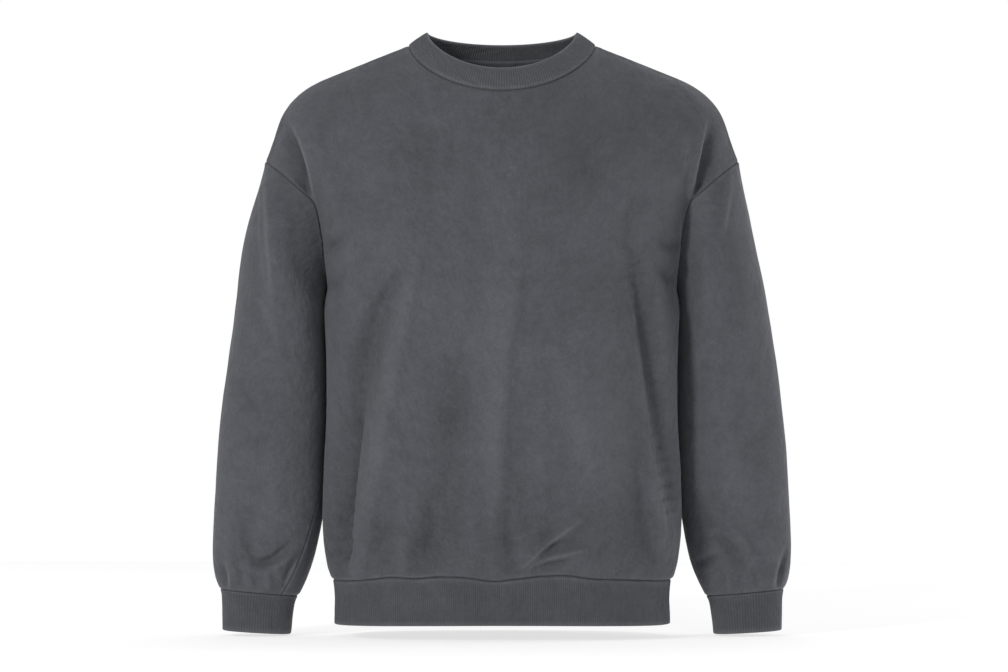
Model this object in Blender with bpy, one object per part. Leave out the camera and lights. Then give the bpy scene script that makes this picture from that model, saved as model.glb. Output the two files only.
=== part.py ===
"""Crewneck sweatshirt with dropped shoulders, filled out as if worn by nobody.

Every piece that is cut and sewn is one closed wall of cloth: two body panels, two sleeves,
a ribbed neckband, two cuffs and a hem rib in two lengths. Each wall is a grid of points on
the cloth's outside, worked out from the tables below, and its inside is that grid moved in
by the cloth's thickness. Pieces that are sewn together share the points of their seam.

Metres, +Z up. The front faces -Y and the wearer's left is at +X. The origin is the middle
of the neck, level with the top of the shoulder seams.
"""

import math

import bpy
import numpy as np

MM = 0.001
DOWN = np.array((0.0, 0.0, -1.0))
# A slanted direction that gives the points of two pieces the same order on both sides.
EDGE_ORDER = np.array((0.37, 0.21, 1.0))

# Cloth and seams
JERSEY_WALL = 2.0 * MM         # brushed-back jersey
RIB_WALL = 2.6 * MM            # folded rib, two layers
NECKBAND_WALL = 3.0 * MM       # folded rib round its seam allowance
SEAM_GAP = 0.3 * MM            # between the edges of two pieces that are sewn together

# How many strips each piece is made of
NECK_STRIPS = 6                # a quarter of the neck seam
SHOULDER_STRIPS = 8            # one shoulder seam
YOKE_ROWS = 10                 # shoulder seam down to the underarm, so half an armhole too
TRUNK_ROWS = 11                # underarm down to the hem seam
SLEEVE_ROWS = 17
RIB_ROWS = 3
EASING = 6                     # passes that draw the cloth below the neck points smooth
HALF_STRIPS = NECK_STRIPS + SHOULDER_STRIPS

# Neck seam and neckband, from the middle of the neck
NECK_MIDDLE = -4.0 * MM
NECK_HALF_WIDTH = 108.0 * MM
NECK_FRONT = 84.0 * MM
NECK_BACK = 70.0 * MM
NECK_DROP_FRONT = 55.5 * MM
NECK_DROP_BACK = 24.5 * MM
NECK_ROUNDNESS = 1.3
BAND_HALF_WIDTH = 85.6 * MM
BAND_FRONT = 73.0 * MM
BAND_BACK = 64.0 * MM
BAND_TOP = 15.5 * MM
BAND_DROP_FRONT = 44.0 * MM
BAND_DROP_BACK = 10.5 * MM
BAND_BULGE = 0.7 * MM
BAND_RIBS_PER_STRIP = 8
BAND_RIB_HEIGHT = 0.8 * MM

# Underarm and hem, the two rings that the body panels hang between
UNDERARM_HEIGHT = -280.0 * MM
FRONT_ROUNDNESS = 2.75         # the front stays flat nearly to the sides
BACK_ROUNDNESS = 2.35
HEM_SEAM_FRONT = -606.0 * MM
HEM_SEAM_SIDE = -611.5 * MM
HEM_SEAM_BACK = -608.0 * MM
HEM_EDGE_FRONT = -660.0 * MM
HEM_EDGE_SIDE = -662.5 * MM
HEM_EDGE_BACK = -662.0 * MM

COLOURS = {
    "jersey": (0.088, 0.091, 0.099),
    "rib": (0.070, 0.073, 0.080),
}


def table(columns, *rows):
    """Rows given in millimetres, as one array in metres for each named column."""
    values = np.array(rows, dtype=float) * MM
    return {name: values[:, place] for place, name in enumerate(columns.split())}


# The shoulder seam, from the neck out to the tip of the dropped shoulder.
SHOULDER_SEAM = table(
    "out back height",
    (108, -4, 0),
    (144, -1, -13.8),
    (178, 1, -27.6),
    (201, 2, -36.8),
    (220, 2, -46.0),
    (233, 2, -55.2),
    (242.5, 2, -64.4),
    (249.5, 2, -73.6),
    (257.5, 1, -91.0),
    (263, 1, -108.0),
    (272, 0, -133.0),
)

# The armhole seam from the shoulder's tip, round the front or the back, to the underarm.
ARMHOLE_FRONT = table(
    "out back height",
    (272, 0, -133),
    (261, -23, -141),
    (245, -39, -154),
    (229, -46, -168),
    (215.5, -42, -180),
    (208, -34, -206),
    (204, -26, -240),
    (201, -13, -266),
    (200, 5, -280),
)
ARMHOLE_BACK = table(
    "out back height",
    (272, 0, -133),
    (261, 23, -141),
    (246, 43, -154),
    (228, 57, -178),
    (214, 60, -210),
    (204, 46, -246),
    (200, 26, -270),
    (200, 5, -280),
)

# How each lengthwise line of a body panel leaves its top edge and reaches the underarm: the
# lean outwards, forwards and down at the top, and the straight stretch above the underarm.
# A row each for the centre, half way round the neck, the neck point, the middle of the
# shoulder seam and its tip.
YOKE_FRONT = table(
    "out forward down straight",
    (0, 30, 65, 80),
    (8, 38, 56, 100),
    (4, 52, 36, 130),
    (0, 60, 12, 140),
    (-6, 45, 10, 90),
)
YOKE_BACK = table(
    "out forward down straight",
    (0, 30, 42, 95),
    (8, 38, 38, 105),
    (4, 52, 26, 130),
    (0, 58, 10, 135),
    (-6, 45, 10, 90),
)
YOKE_PLACES = (0.0, 0.22, 0.43, 0.72, 1.0)

# The body from the underarm down to the hem seam: half its width, how far back its side
# seams lie, and how far its middle lies in front of and behind the shoulders.
TRUNK = table(
    "down width side front back",
    (0, 200, 5, -130, 108),
    (18, 202.6, 1, -131, 107),
    (70, 201, -14, -132, 103),
    (140, 201, -20, -133, 101),
    (210, 204, -20, -135, 104),
    (265, 205.5, -20, -136, 110),
    (295, 203, -20, -135, 113),
    (315, 199, -20, -130, 112),
    (328, 194, -20, -124.5, 108.5),
)
HEM_RIB = table(
    "down width side front back",
    (0, 193.5, -20, -123.5, 107.5),
    (6, 192.5, -20, -122, 106.5),
    (50, 191.5, -20, -119.5, 105.5),
)

# The hem seam rises and dips where the wider body is eased into the rib.
HEM_SEAM_WAVES = table(
    "out rise",
    (-193, -1), (-155, 0), (-122, 2.5), (-100, 0.5), (-74, 2), (-38, 0.5), (-10, -3.5),
    (16, -1), (45, 2.5), (72, 3.5), (102, 0.5), (144, 0), (193, -1),
)

# Sections down the sleeve. Each runs from a point beside the body to a point on the outer
# edge, and bulges forwards and backwards between them.
SLEEVE = table(
    "inner inner_height outer outer_height middle front back",
    (205.4, -293, 279.5, -172, 5, 64, 68),
    (203.8, -308, 290.0, -222, 11, 72, 76),
    (202.6, -329, 302.5, -281, 17, 76, 78),
    (200.8, -358, 313.0, -344, 22, 74, 75),
    (200.6, -402, 320.5, -396, 23, 69, 69),
    (201.6, -452, 326.5, -450, 22, 63, 62),
    (203.0, -505, 330.5, -504, 19, 56, 56),
    (209.0, -555, 332.5, -556, 13, 50, 50),
    (216.5, -590, 332.5, -590, 7, 46, 46),
    (226.0, -616, 329.5, -611, 3, 41, 41),
    (234.5, -632, 324.5, -624, 2, 33, 33),
)
CUFF = table(
    "inner inner_height outer outer_height middle front back",
    (235.0, -632, 324.0, -624, 2, 32.5, 32.5),
    (238.5, -640, 322.5, -633, 2, 31, 31),
    (241.0, -655, 322.0, -651, 2, 30, 30),
    (243.0, -676, 321.5, -671.5, 2, 29, 29),
)
# How square each section of the sleeve is: 2 would be an ellipse.
SLEEVE_ROUNDNESS = np.array((2.15, 2.2, 2.35, 2.6, 2.7, 2.7, 2.7, 2.6, 2.5, 2.4, 2.3))
CUFF_ROUNDNESS = np.full(4, 2.3)

# The largest folds. Each is a soft ridge, or a trough where it is raised by less than
# nothing, along a line from one end to the other, in the plane of the front or the back.
FRONT_FOLDS = table(
    "out height end_out end_height width raised",
    (139, -240, 153, -345, 15, 4.0),
    (150, -320, 182, -480, 14, 5.0),
    (160, -300, 176, -475, 11, -6.5),
    (-132, -350, -158, -480, 15, 5.5),
    (-154, -450, -172, -585, 14, 5.0),
    (-176, -400, -183, -540, 17, -6.0),
    (-58, -370, -68, -520, 20, -4.0),
    (2, -300, -8, -520, 26, 4.0),
    (104, -420, 112, -510, 18, -4.0),
    (-204, -200, -172, -265, 12, -4.0),
    (206, -195, 178, -262, 12, -4.0),
    (30, -560, 80, -545, 10, -3.0),
    (-110, -565, -70, -560, 10, -3.0),
)
BACK_FOLDS = table(
    "out height end_out end_height width raised",
    (-128, -210, -150, -420, 20, -6.0),
    (128, -220, 156, -440, 20, -6.0),
    (-40, -330, -62, -560, 24, 5.0),
    (46, -360, 60, -570, 22, 5.0),
    (4, -430, 0, -580, 24, -5.0),
    (-150, -470, -110, -585, 18, 4.5),
    (150, -480, 118, -590, 18, 4.5),
    (0, -110, 0, -250, 40, -4.0),
)
SLEEVE_FOLDS = table(
    "out height end_out end_height width raised",
    (232, -262, 292, -335, 13, -3.5),
    (238, -405, 306, -440, 13, -3.0),
    (246, -470, 300, -520, 12, 3.0),
    (232, -560, 300, -548, 9, -3.5),
    (250, -590, 312, -580, 9, -3.0),
)


def spline(at, knots, values):
    """The smooth curve that passes through values at knots, read at the places given."""
    at = np.asarray(at, dtype=float)
    knots = np.asarray(knots, dtype=float)
    values = np.asarray(values, dtype=float)
    slopes = np.gradient(values, knots, axis=0)
    first = np.clip(np.searchsorted(knots, at, side="right") - 1, 0, len(knots) - 2)
    step = knots[first + 1] - knots[first]
    part = (at - knots[first]) / step
    for _ in range(values.ndim - 1):
        step = step[..., None]
        part = part[..., None]
    rise = values[first + 1] - values[first]
    return (values[first]
            + part * step * slopes[first]
            + part ** 2 * (3 * rise - step * (2 * slopes[first] + slopes[first + 1]))
            + part ** 3 * (step * (slopes[first] + slopes[first + 1]) - 2 * rise))


def columns(rows, *names):
    """Named columns of a table, side by side."""
    return np.stack([rows[name] for name in names], axis=-1)


def lengths(points):
    """The distance along a line of points, from 0 to 1."""
    steps = np.linalg.norm(np.diff(points, axis=0), axis=1)
    travelled = np.concatenate(([0.0], np.cumsum(steps)))
    return travelled / travelled[-1]


def even(curve, strips):
    """The same line with its points spaced evenly."""
    travelled = lengths(curve)
    at = np.linspace(0.0, 1.0, strips + 1)
    return np.stack([np.interp(at, travelled, curve[:, axis]) for axis in range(3)], axis=-1)


def smoothstep(value):
    """0 up to 0, 1 from 1 on, and a soft step between them."""
    value = np.clip(value, 0.0, 1.0)
    return value * value * (3.0 - 2.0 * value)


def through(rows, strips):
    """An even line through a table of points."""
    points = columns(rows, "out", "back", "height")
    fine = spline(np.linspace(0.0, 1.0, 200), lengths(points), points)
    return even(fine, strips)


def neck_seam(front):
    """A quarter of the neck seam, from the centre round to the shoulder seam."""
    turn = np.linspace(0.0, math.pi / 2, 200)
    reach = -NECK_FRONT if front else NECK_BACK
    drop = NECK_DROP_FRONT if front else NECK_DROP_BACK
    curve = np.stack([
        NECK_HALF_WIDTH * np.sin(turn),
        NECK_MIDDLE + reach * np.cos(turn),
        -drop * np.cos(turn) ** NECK_ROUNDNESS,
    ], axis=-1)
    return even(curve, NECK_STRIPS)


def top_edge(front):
    """Half of a body panel's top edge: the neck seam and then the shoulder seam."""
    shoulder = through(SHOULDER_SEAM, SHOULDER_STRIPS)
    return np.concatenate((neck_seam(front), shoulder[1:]))


def quarter_turn(front):
    """A quarter of a level ring, one long each way, in even strips of the underarm ring."""
    turn = np.linspace(0.0, math.pi / 2, 400)
    power = 2.0 / (FRONT_ROUNDNESS if front else BACK_ROUNDNESS)
    quarter = np.stack([np.sin(turn) ** power, np.cos(turn).clip(0.0) ** power], axis=-1)
    reach = TRUNK["front" if front else "back"][0] - TRUNK["side"][0]
    length = lengths(quarter * (TRUNK["width"][0], reach))
    return spline(np.linspace(0.0, 1.0, HALF_STRIPS + 1), length, quarter)


def level_ring(rows, front, part):
    """A level ring round half the body, at a part of its table: from one side to the other."""
    drop = rows["down"] / rows["down"][-1]
    names = ("width", "side", "front" if front else "back")
    width, side, middle = spline(part, drop, columns(rows, *names))
    quarter = quarter_turn(front) * (width, middle - side)
    row = np.stack([quarter[:, 0], side + quarter[:, 1], np.zeros(len(quarter))], axis=-1)
    return mirrored(row[None])[0]


def yoke(front):
    """Half a panel from its top edge to the underarm: rows of points, centre to armhole."""
    top = top_edge(front)
    lean = YOKE_FRONT if front else YOKE_BACK
    forward = -1.0 if front else 1.0
    bottom = level_ring(TRUNK, front, 0.0)[HALF_STRIPS:] + (0.0, 0.0, UNDERARM_HEIGHT)
    leans = spline(lengths(top), YOKE_PLACES, columns(lean, "out", "forward", "down", "straight"))
    leaving = top + leans[:, :3] * (1.0, forward, -1.0)
    reaching = bottom + leans[:, 3:] * (0.0, 0.0, 1.0)
    part = np.linspace(0.0, 1.0, YOKE_ROWS + 1)[:, None, None]
    rows = ((1 - part) ** 3 * top + 3 * (1 - part) ** 2 * part * leaving
            + 3 * (1 - part) * part ** 2 * reaching + part ** 3 * bottom)
    armhole = through(ARMHOLE_FRONT if front else ARMHOLE_BACK, YOKE_ROWS)
    nearness = smoothstep((lengths(top) - 0.55) / 0.45)[None, :, None]
    return rows + nearness * (armhole[:, None, :] - rows[:, -1:, :])


def eased(points):
    """Half a panel with the cloth below the neck point drawn smooth."""
    steps = np.arange(1, len(points) - 1)[:, None] / YOKE_ROWS
    aside = (np.arange(1, HALF_STRIPS) - NECK_STRIPS) / NECK_STRIPS
    weight = 0.5 * np.exp(-(1.6 * aside) ** 2) * np.minimum(1.0, 4.0 * steps)
    for _ in range(EASING):
        around = (points[1:-1, 2:] + points[1:-1, :-2]) / 2.0
        points[1:-1, 1:-1] += weight[..., None] * (around - points[1:-1, 1:-1])
    return points


def hem_height(out, front, front_height, side_height, back_height, waves):
    """The height of a hem line round the body, with the rise and dip of its seam."""
    sideways = np.abs(out) / TRUNK["width"][0]
    middle = front_height if front else back_height
    height = middle + (side_height - middle) * np.clip(sideways, 0.0, 1.0) ** 2
    if waves:
        turned = out if front else -out
        ease = smoothstep((1.0 - sideways) / 0.15)
        height = height + ease * spline(turned, HEM_SEAM_WAVES["out"], HEM_SEAM_WAVES["rise"])
    return height


def mirrored(half):
    """Rows of a whole panel from rows of its half at +X."""
    other = half[:, :0:-1] * (-1.0, 1.0, 1.0)
    return np.concatenate((other, half), axis=1)


def trunk(front):
    """A whole panel from the underarm to the hem seam, without its first row."""
    rows = []
    for part in np.linspace(0.0, 1.0, TRUNK_ROWS + 1)[1:]:
        row = level_ring(TRUNK, front, part)
        seam = hem_height(row[:, 0], front, HEM_SEAM_FRONT, HEM_SEAM_SIDE, HEM_SEAM_BACK, True)
        row[:, 2] = UNDERARM_HEIGHT + part * (seam - UNDERARM_HEIGHT)
        rows.append(row)
    return np.array(rows)


def folded(points, normals, folds, fade):
    """A grid moved along its normals by a table of folds, less where it fades out."""
    moved = np.zeros(points.shape[:2])
    place = points[..., (0, 2)]
    for fold in zip(*(folds[name] for name in folds)):
        out, height, end_out, end_height, width, raised = fold
        start = np.array((out, height))
        run = np.array((end_out, end_height)) - start
        along = ((place - start) @ run) / (run @ run)
        nearest = start + np.clip(along, 0.0, 1.0)[..., None] * run
        away = np.linalg.norm(place - nearest, axis=-1) / width
        taper = np.sin(math.pi * np.clip(along, 0.02, 0.98)) ** 0.6
        moved += raised * taper * np.exp(-away ** 2)
    return points + normals * (moved * fade)[..., None]


def normals_of(points, closed):
    """Outward normals of a grid whose rows run down and whose columns run to +X in front."""
    if closed:
        across = np.roll(points, -1, axis=1) - np.roll(points, 1, axis=1)
    else:
        across = np.gradient(points, axis=1)
    down = np.gradient(points, axis=0)
    normals = np.cross(down, across)
    return normals / np.linalg.norm(normals, axis=-1, keepdims=True)


def body_panel(front):
    """The front or back: rows from its top edge down, columns from one side to the other."""
    points = np.concatenate((mirrored(eased(yoke(front))), trunk(front)))
    if not front:
        points = points[:, ::-1]
    normals = normals_of(points, False)
    steps = np.arange(points.shape[0])[:, None]
    across = np.abs(np.linspace(-1.0, 1.0, points.shape[1]))[None, :]
    fade = (smoothstep(steps / 3.0)
            * smoothstep((points.shape[0] - 1 - steps) / 2.0)
            * smoothstep((1.0 - across) / 0.15))
    return folded(points, normals, FRONT_FOLDS if front else BACK_FOLDS, fade)


def tube_section(row, strips):
    """One section of a sleeve or cuff, from its outer point round the back."""
    inner = np.array((row[0], 0.0, row[1]))
    outer = np.array((row[2], 0.0, row[3]))
    centre = (inner + outer) / 2.0 + np.array((0.0, row[4], 0.0))
    half = (outer - inner) / 2.0
    turn = np.linspace(0.0, 2.0 * math.pi, 2 * strips, endpoint=False)
    power = 2.0 / row[7]
    along = np.sign(np.cos(turn)) * np.abs(np.cos(turn)) ** power
    bulge = np.abs(np.sin(turn)) ** power * np.where(turn < math.pi, row[6], -row[5])
    section = centre + along[:, None] * half
    section[:, 1] += bulge
    return section


def tube_rows(rows, roundness, parts):
    """Rows of a tube, read from a table of sections at parts of its length."""
    names = ("inner", "inner_height", "outer", "outer_height", "middle", "front", "back")
    sections = np.column_stack((columns(rows, *names), roundness))
    values = spline(parts, np.linspace(0.0, 1.0, len(sections)), sections)
    return np.array([tube_section(value, YOKE_ROWS) for value in values])


def armhole_ring():
    """The armhole seam as a closed ring, from the shoulder's tip round by the back."""
    front = through(ARMHOLE_FRONT, YOKE_ROWS)
    back = through(ARMHOLE_BACK, YOKE_ROWS)
    return np.concatenate((back, front[-2:0:-1]))


def sleeve():
    """The sleeve at +X: rows from the armhole seam to the cuff seam, columns all round."""
    armhole = armhole_ring()
    sections = tube_rows(SLEEVE, SLEEVE_ROUNDNESS, np.linspace(0.0, 1.0, len(SLEEVE["inner"])))
    knots = np.concatenate((armhole[None], sections))
    middles = knots.mean(axis=1)
    points = spline(np.linspace(0.0, 1.0, SLEEVE_ROWS + 1), lengths(middles), knots)
    normals = normals_of(points, True)
    steps = np.arange(points.shape[0])[:, None]
    fade = smoothstep(steps / 3.0) * smoothstep((points.shape[0] - 1 - steps) / 2.0)
    return folded(points, normals, SLEEVE_FOLDS, fade)


def cuff():
    """The cuff at +X: rows from its seam to its open edge, columns all round."""
    return tube_rows(CUFF, CUFF_ROUNDNESS, np.linspace(0.0, 1.0, RIB_ROWS + 1))


def hem_rib(front):
    """The front or back length of the hem rib: rows from its seam to its lower edge."""
    rows = []
    for part in np.linspace(0.0, 1.0, RIB_ROWS + 1):
        row = level_ring(HEM_RIB, front, part)
        seam = hem_height(row[:, 0], front, HEM_SEAM_FRONT, HEM_SEAM_SIDE, HEM_SEAM_BACK, True)
        edge = hem_height(row[:, 0], front, HEM_EDGE_FRONT, HEM_EDGE_SIDE, HEM_EDGE_BACK, False)
        row[:, 2] = seam + part * (edge - seam)
        rows.append(row)
    points = np.array(rows)
    return points if front else points[:, ::-1]


def share(first, second):
    """One normal for each point of a seam, from the normals on its two sides."""
    both = first + second
    return both / np.linalg.norm(both, axis=-1, keepdims=True)


def pull_back(points, normals, edge, closed):
    """Half a seam gap taken off one edge of a grid, square to its seam and its normals."""
    places = {
        "top": (0, 1),
        "bottom": (-1, -2),
        "start": ((slice(None), 0), (slice(None), 1)),
        "end": ((slice(None), -1), (slice(None), -2)),
    }
    rim, inside = places[edge]
    if closed:
        along = np.roll(points[rim], -1, axis=0) - np.roll(points[rim], 1, axis=0)
    else:
        along = np.gradient(points[rim], axis=0)
    square = np.cross(along, normals[rim])
    square /= np.linalg.norm(square, axis=-1, keepdims=True)
    inward = np.sign(((points[inside] - points[rim]) * square).sum(axis=-1, keepdims=True))
    points[rim] += SEAM_GAP / 2.0 * inward * square


def wall_faces(points, closed):
    """Faces of a closed wall from an outer and an inner grid with the same points."""
    rows, strips = points.shape[:2]
    layer = rows * strips
    faces = []
    spans = strips if closed else strips - 1
    for row in range(rows - 1):
        for strip in range(spans):
            after = (strip + 1) % strips
            a, b = row * strips + strip, row * strips + after
            c, d = a + strips, b + strips
            faces.append((a, c, d, b))
            faces.append((layer + a, layer + b, layer + d, layer + c))
    rim = []
    for strip in range(spans):
        after = (strip + 1) % strips
        rim.append((strip, after))
        rim.append(((rows - 1) * strips + after, (rows - 1) * strips + strip))
    if not closed:
        for row in range(rows - 1):
            rim.append(((row + 1) * strips, row * strips))
            rim.append((row * strips + strips - 1, (row + 1) * strips + strips - 1))
    # Both sides of a seam split their edge faces the same way, so that they stay parallel.
    order = points.reshape(-1, 3) @ EDGE_ORDER
    for a, b in rim:
        if order[a] > order[b]:
            faces += [(a, b, layer + b), (a, layer + b, layer + a)]
        else:
            faces += [(a, b, layer + a), (b, layer + b, layer + a)]
    return faces


def material(name):
    """A plain Principled material in one of the shirt's two cloths."""
    made = bpy.data.materials.new(name)
    made.use_nodes = True
    shader = made.node_tree.nodes["Principled BSDF"]
    shader.inputs["Base Color"].default_value = (*COLOURS[name.split("_")[0]], 1.0)
    shader.inputs["Roughness"].default_value = 0.95
    shader.inputs["Metallic"].default_value = 0.0
    return made


def add_object(name, cloth, vertices, faces):
    """One named, smooth-shaded object with a material of its own."""
    mesh = bpy.data.meshes.new(name)
    mesh.from_pydata([tuple(float(value) for value in vertex) for vertex in vertices], [], faces)
    mesh.validate()
    mesh.shade_smooth()
    mesh.materials.append(material(cloth + "_" + name))
    thing = bpy.data.objects.new(name, mesh)
    bpy.context.collection.objects.link(thing)
    return thing


def add_wall(name, cloth, points, normals, thickness, closed):
    """A cloth wall from the grid of its outside."""
    inside = points - normals * thickness
    vertices = np.concatenate((points.reshape(-1, 3), inside.reshape(-1, 3)))
    return add_object(name, cloth, vertices, wall_faces(points, closed))


def mirror_tube(points):
    """A closed tube at -X from the one at +X, with its columns still turning the same way."""
    other = points * (-1.0, 1.0, 1.0)
    return np.roll(other[:, ::-1], 1, axis=1)


def neck_ring():
    """The whole neck seam as a closed ring, from the centre front towards +X."""
    front = neck_seam(True)
    back = neck_seam(False)
    right = np.concatenate((front, back[-2::-1]))
    left = right[-2:0:-1] * (-1.0, 1.0, 1.0)
    return np.concatenate((right, left))


def band_edge(count):
    """The neckband's folded upper edge, even strips all round from the centre front."""
    turn = np.linspace(0.0, 2.0 * math.pi, 1200, endpoint=False)
    front = np.cos(turn) > 0.0
    reach = np.where(front, -BAND_FRONT, BAND_BACK * -1.0)
    drop = np.where(front, BAND_DROP_FRONT, BAND_DROP_BACK)
    curve = np.stack([
        BAND_HALF_WIDTH * np.sin(turn),
        NECK_MIDDLE + reach * np.cos(turn),
        BAND_TOP - drop * np.abs(np.cos(turn)) ** NECK_ROUNDNESS,
    ], axis=-1)
    quarters = []
    for first in range(0, 1200, 300):
        quarter = curve[np.arange(first, first + 301) % 1200]
        quarters.append(even(quarter, count // 4)[:-1])
    return np.concatenate(quarters)


def subdivided(ring, parts):
    """A closed ring with each side divided evenly and kept straight."""
    after = np.roll(ring, -1, axis=0)
    steps = np.arange(parts)[None, :, None] / parts
    return (ring[:, None] + steps * (after - ring)[:, None]).reshape(-1, 3)


def add_neckband(seam_normals):
    """The folded rib round the neck: raised ribs outside, a plain wall inside."""
    seam = neck_ring()
    per_strip = 2 * BAND_RIBS_PER_STRIP
    edge = band_edge(len(seam))
    outside_seam = subdivided(seam, per_strip)
    fine_normals = subdivided(seam_normals, per_strip)
    outside_edge = subdivided(edge, per_strip)
    rise = outside_edge - outside_seam
    height = np.linalg.norm(rise, axis=1, keepdims=True)
    along = np.roll(outside_seam, -1, axis=0) - np.roll(outside_seam, 1, axis=0)
    facing = np.cross(along, rise)
    facing /= np.linalg.norm(facing, axis=1, keepdims=True)
    ribs = BAND_RIB_HEIGHT * (np.arange(len(outside_seam)) % 2)[:, None]
    rows = [outside_seam + rise / height * SEAM_GAP / 2.0]
    for part, bulge, ribbed in ((0.09, 0.3, 1.0), (0.5, 1.0, 1.0), (0.9, 0.35, 1.0)):
        rows.append(outside_seam + rise * part + facing * (BAND_BULGE * bulge + ribs * ribbed))
    rim = outside_edge - facing * NECKBAND_WALL / 2.0
    rows.append(rim)
    count = len(outside_seam)
    coarse = len(seam)
    base = rows[0].reshape(coarse, per_strip, 3)[:, 0]
    coarse_facing = facing.reshape(coarse, per_strip, 3)[:, 0]
    inner_top = edge + (seam - edge) * 0.12 - coarse_facing * NECKBAND_WALL
    inner_middle = (edge + seam) / 2.0 + coarse_facing * (BAND_BULGE - NECKBAND_WALL)
    inner_base = base - fine_normals.reshape(coarse, per_strip, 3)[:, 0] * JERSEY_WALL
    inner_base += (rise / height).reshape(coarse, per_strip, 3)[:, 0] * 2.0 * SEAM_GAP
    vertices = np.concatenate(rows + [inner_top, inner_middle, inner_base])
    faces = []
    for row in range(len(rows) - 1):
        for strip in range(count):
            after = (strip + 1) % count
            a, b = row * count + strip, row * count + after
            faces.append((a, b, b + count, a + count))
    top = len(rows) * count
    middle = top + coarse
    bottom = middle + coarse
    rim_start = (len(rows) - 1) * count
    for strip in range(coarse):
        after = (strip + 1) % coarse
        faces.append((top + strip, top + after, middle + after, middle + strip))
        faces.append((middle + strip, middle + after, bottom + after, bottom + strip))
        half = per_strip // 2
        for part in range(per_strip):
            a = strip * per_strip + part
            b = (a + 1) % count
            near = strip if part < half else after
            faces.append((rim_start + a, rim_start + b, top + near))
            faces.append((b, a, bottom + near))
        across = strip * per_strip + half
        faces.append((rim_start + across, top + after, top + strip))
        faces.append((across, bottom + strip, bottom + after))
    return add_object("collar_rib", "rib", vertices, faces)


def build():
    """All nine pieces, with each seam's normals shared by the pieces that meet there."""
    front = body_panel(True)
    back = body_panel(False)
    arm = sleeve()
    wrist = cuff()
    rib_front = hem_rib(True)
    rib_back = hem_rib(False)

    grids = {
        "body_front": (front, False), "body_back": (back, False),
        "sleeve_left": (arm, True), "cuff_left": (wrist, True),
        "hem_rib_front": (rib_front, False), "hem_rib_back": (rib_back, False),
    }
    normals = {name: normals_of(points, closed) for name, (points, closed) in grids.items()}
    nf, nb = normals["body_front"], normals["body_back"]
    ns, nc = normals["sleeve_left"], normals["cuff_left"]
    nrf, nrb = normals["hem_rib_front"], normals["hem_rib_back"]

    last = nf.shape[1] - 1
    shoulders = [place for place in range(last + 1) if abs(place - HALF_STRIPS) >= NECK_STRIPS]
    for place in shoulders:
        nf[0, place] = nb[0, last - place] = share(nf[0, place], nb[0, last - place])
    for here, there in ((0, last), (last, 0)):
        nf[YOKE_ROWS:, here] = nb[YOKE_ROWS:, there] = share(nf[YOKE_ROWS:, here],
                                                            nb[YOKE_ROWS:, there])
        nrf[:, here] = nrb[:, there] = share(nrf[:, here], nrb[:, there])
    nf[-1] = nrf[0] = share(nf[-1], nrf[0])
    nb[-1] = nrb[0] = share(nb[-1], nrb[0])
    ns[-1] = nc[0] = share(ns[-1], nc[0])

    # The armhole's points on both body panels, in the order of the sleeve's columns.
    rows = range(YOKE_ROWS + 1)
    for row in rows:
        ring_back = row
        ring_front = (2 * YOKE_ROWS - row) % (2 * YOKE_ROWS)
        crease = smoothstep((row / YOKE_ROWS - 0.5) / 0.45) * DOWN
        joined = share(nf[row, last] + crease, ns[0, ring_front] + crease)
        nf[row, last] = ns[0, ring_front] = joined
        joined = share(nb[row, 0] + crease, ns[0, ring_back] + crease)
        nb[row, 0] = ns[0, ring_back] = joined
    for row in (0, YOKE_ROWS):
        nf[row, last] = nb[row, 0] = ns[0, row]
    nf[:YOKE_ROWS + 1, 0] = nf[:YOKE_ROWS + 1, last] * (-1.0, 1.0, 1.0)
    nb[:YOKE_ROWS + 1, last] = nb[:YOKE_ROWS + 1, 0] * (-1.0, 1.0, 1.0)

    first_neck = HALF_STRIPS - NECK_STRIPS
    around = list(range(HALF_STRIPS, HALF_STRIPS + NECK_STRIPS + 1))
    neck_front = nf[0, around]
    neck_back = nb[0, [last - place for place in around]]
    quarter = np.concatenate((neck_front, neck_back[-2::-1]))
    seam_normals = np.concatenate((quarter, quarter[-2:0:-1] * (-1.0, 1.0, 1.0)))
    nf[0, first_neck:HALF_STRIPS] = neck_front[:0:-1] * (-1.0, 1.0, 1.0)
    nb[0, HALF_STRIPS + 1:last - first_neck + 1] = neck_back[1:] * (-1.0, 1.0, 1.0)

    for panel, facing in ((front, nf), (back, nb)):
        for edge in ("top", "bottom", "start", "end"):
            pull_back(panel, facing, edge, False)
    for rib, facing in ((rib_front, nrf), (rib_back, nrb)):
        for edge in ("top", "start", "end"):
            pull_back(rib, facing, edge, False)
    pull_back(arm, ns, "top", True)
    pull_back(arm, ns, "bottom", True)
    pull_back(wrist, nc, "top", True)

    add_wall("body_front", "jersey", front, nf, JERSEY_WALL, False)
    add_wall("body_back", "jersey", back, nb, JERSEY_WALL, False)
    add_wall("hem_rib_front", "rib", rib_front, nrf, RIB_WALL, False)
    add_wall("hem_rib_back", "rib", rib_back, nrb, RIB_WALL, False)
    add_wall("sleeve_left", "jersey", arm, ns, JERSEY_WALL, True)
    add_wall("sleeve_right", "jersey", mirror_tube(arm), mirror_tube(ns), JERSEY_WALL, True)
    add_wall("cuff_left", "rib", wrist, nc, RIB_WALL, True)
    add_wall("cuff_right", "rib", mirror_tube(wrist), mirror_tube(nc), RIB_WALL, True)
    add_neckband(seam_normals)


for old in list(bpy.data.objects):
    bpy.data.objects.remove(old)
build()
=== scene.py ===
"""Garment-dyed crewneck sweatshirt: the finish of every cut piece, laid out as an add-on."""

import functools
import math

import bpy
import numpy as np
from bpy.props import FloatProperty, FloatVectorProperty, PointerProperty
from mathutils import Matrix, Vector, noise


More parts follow.
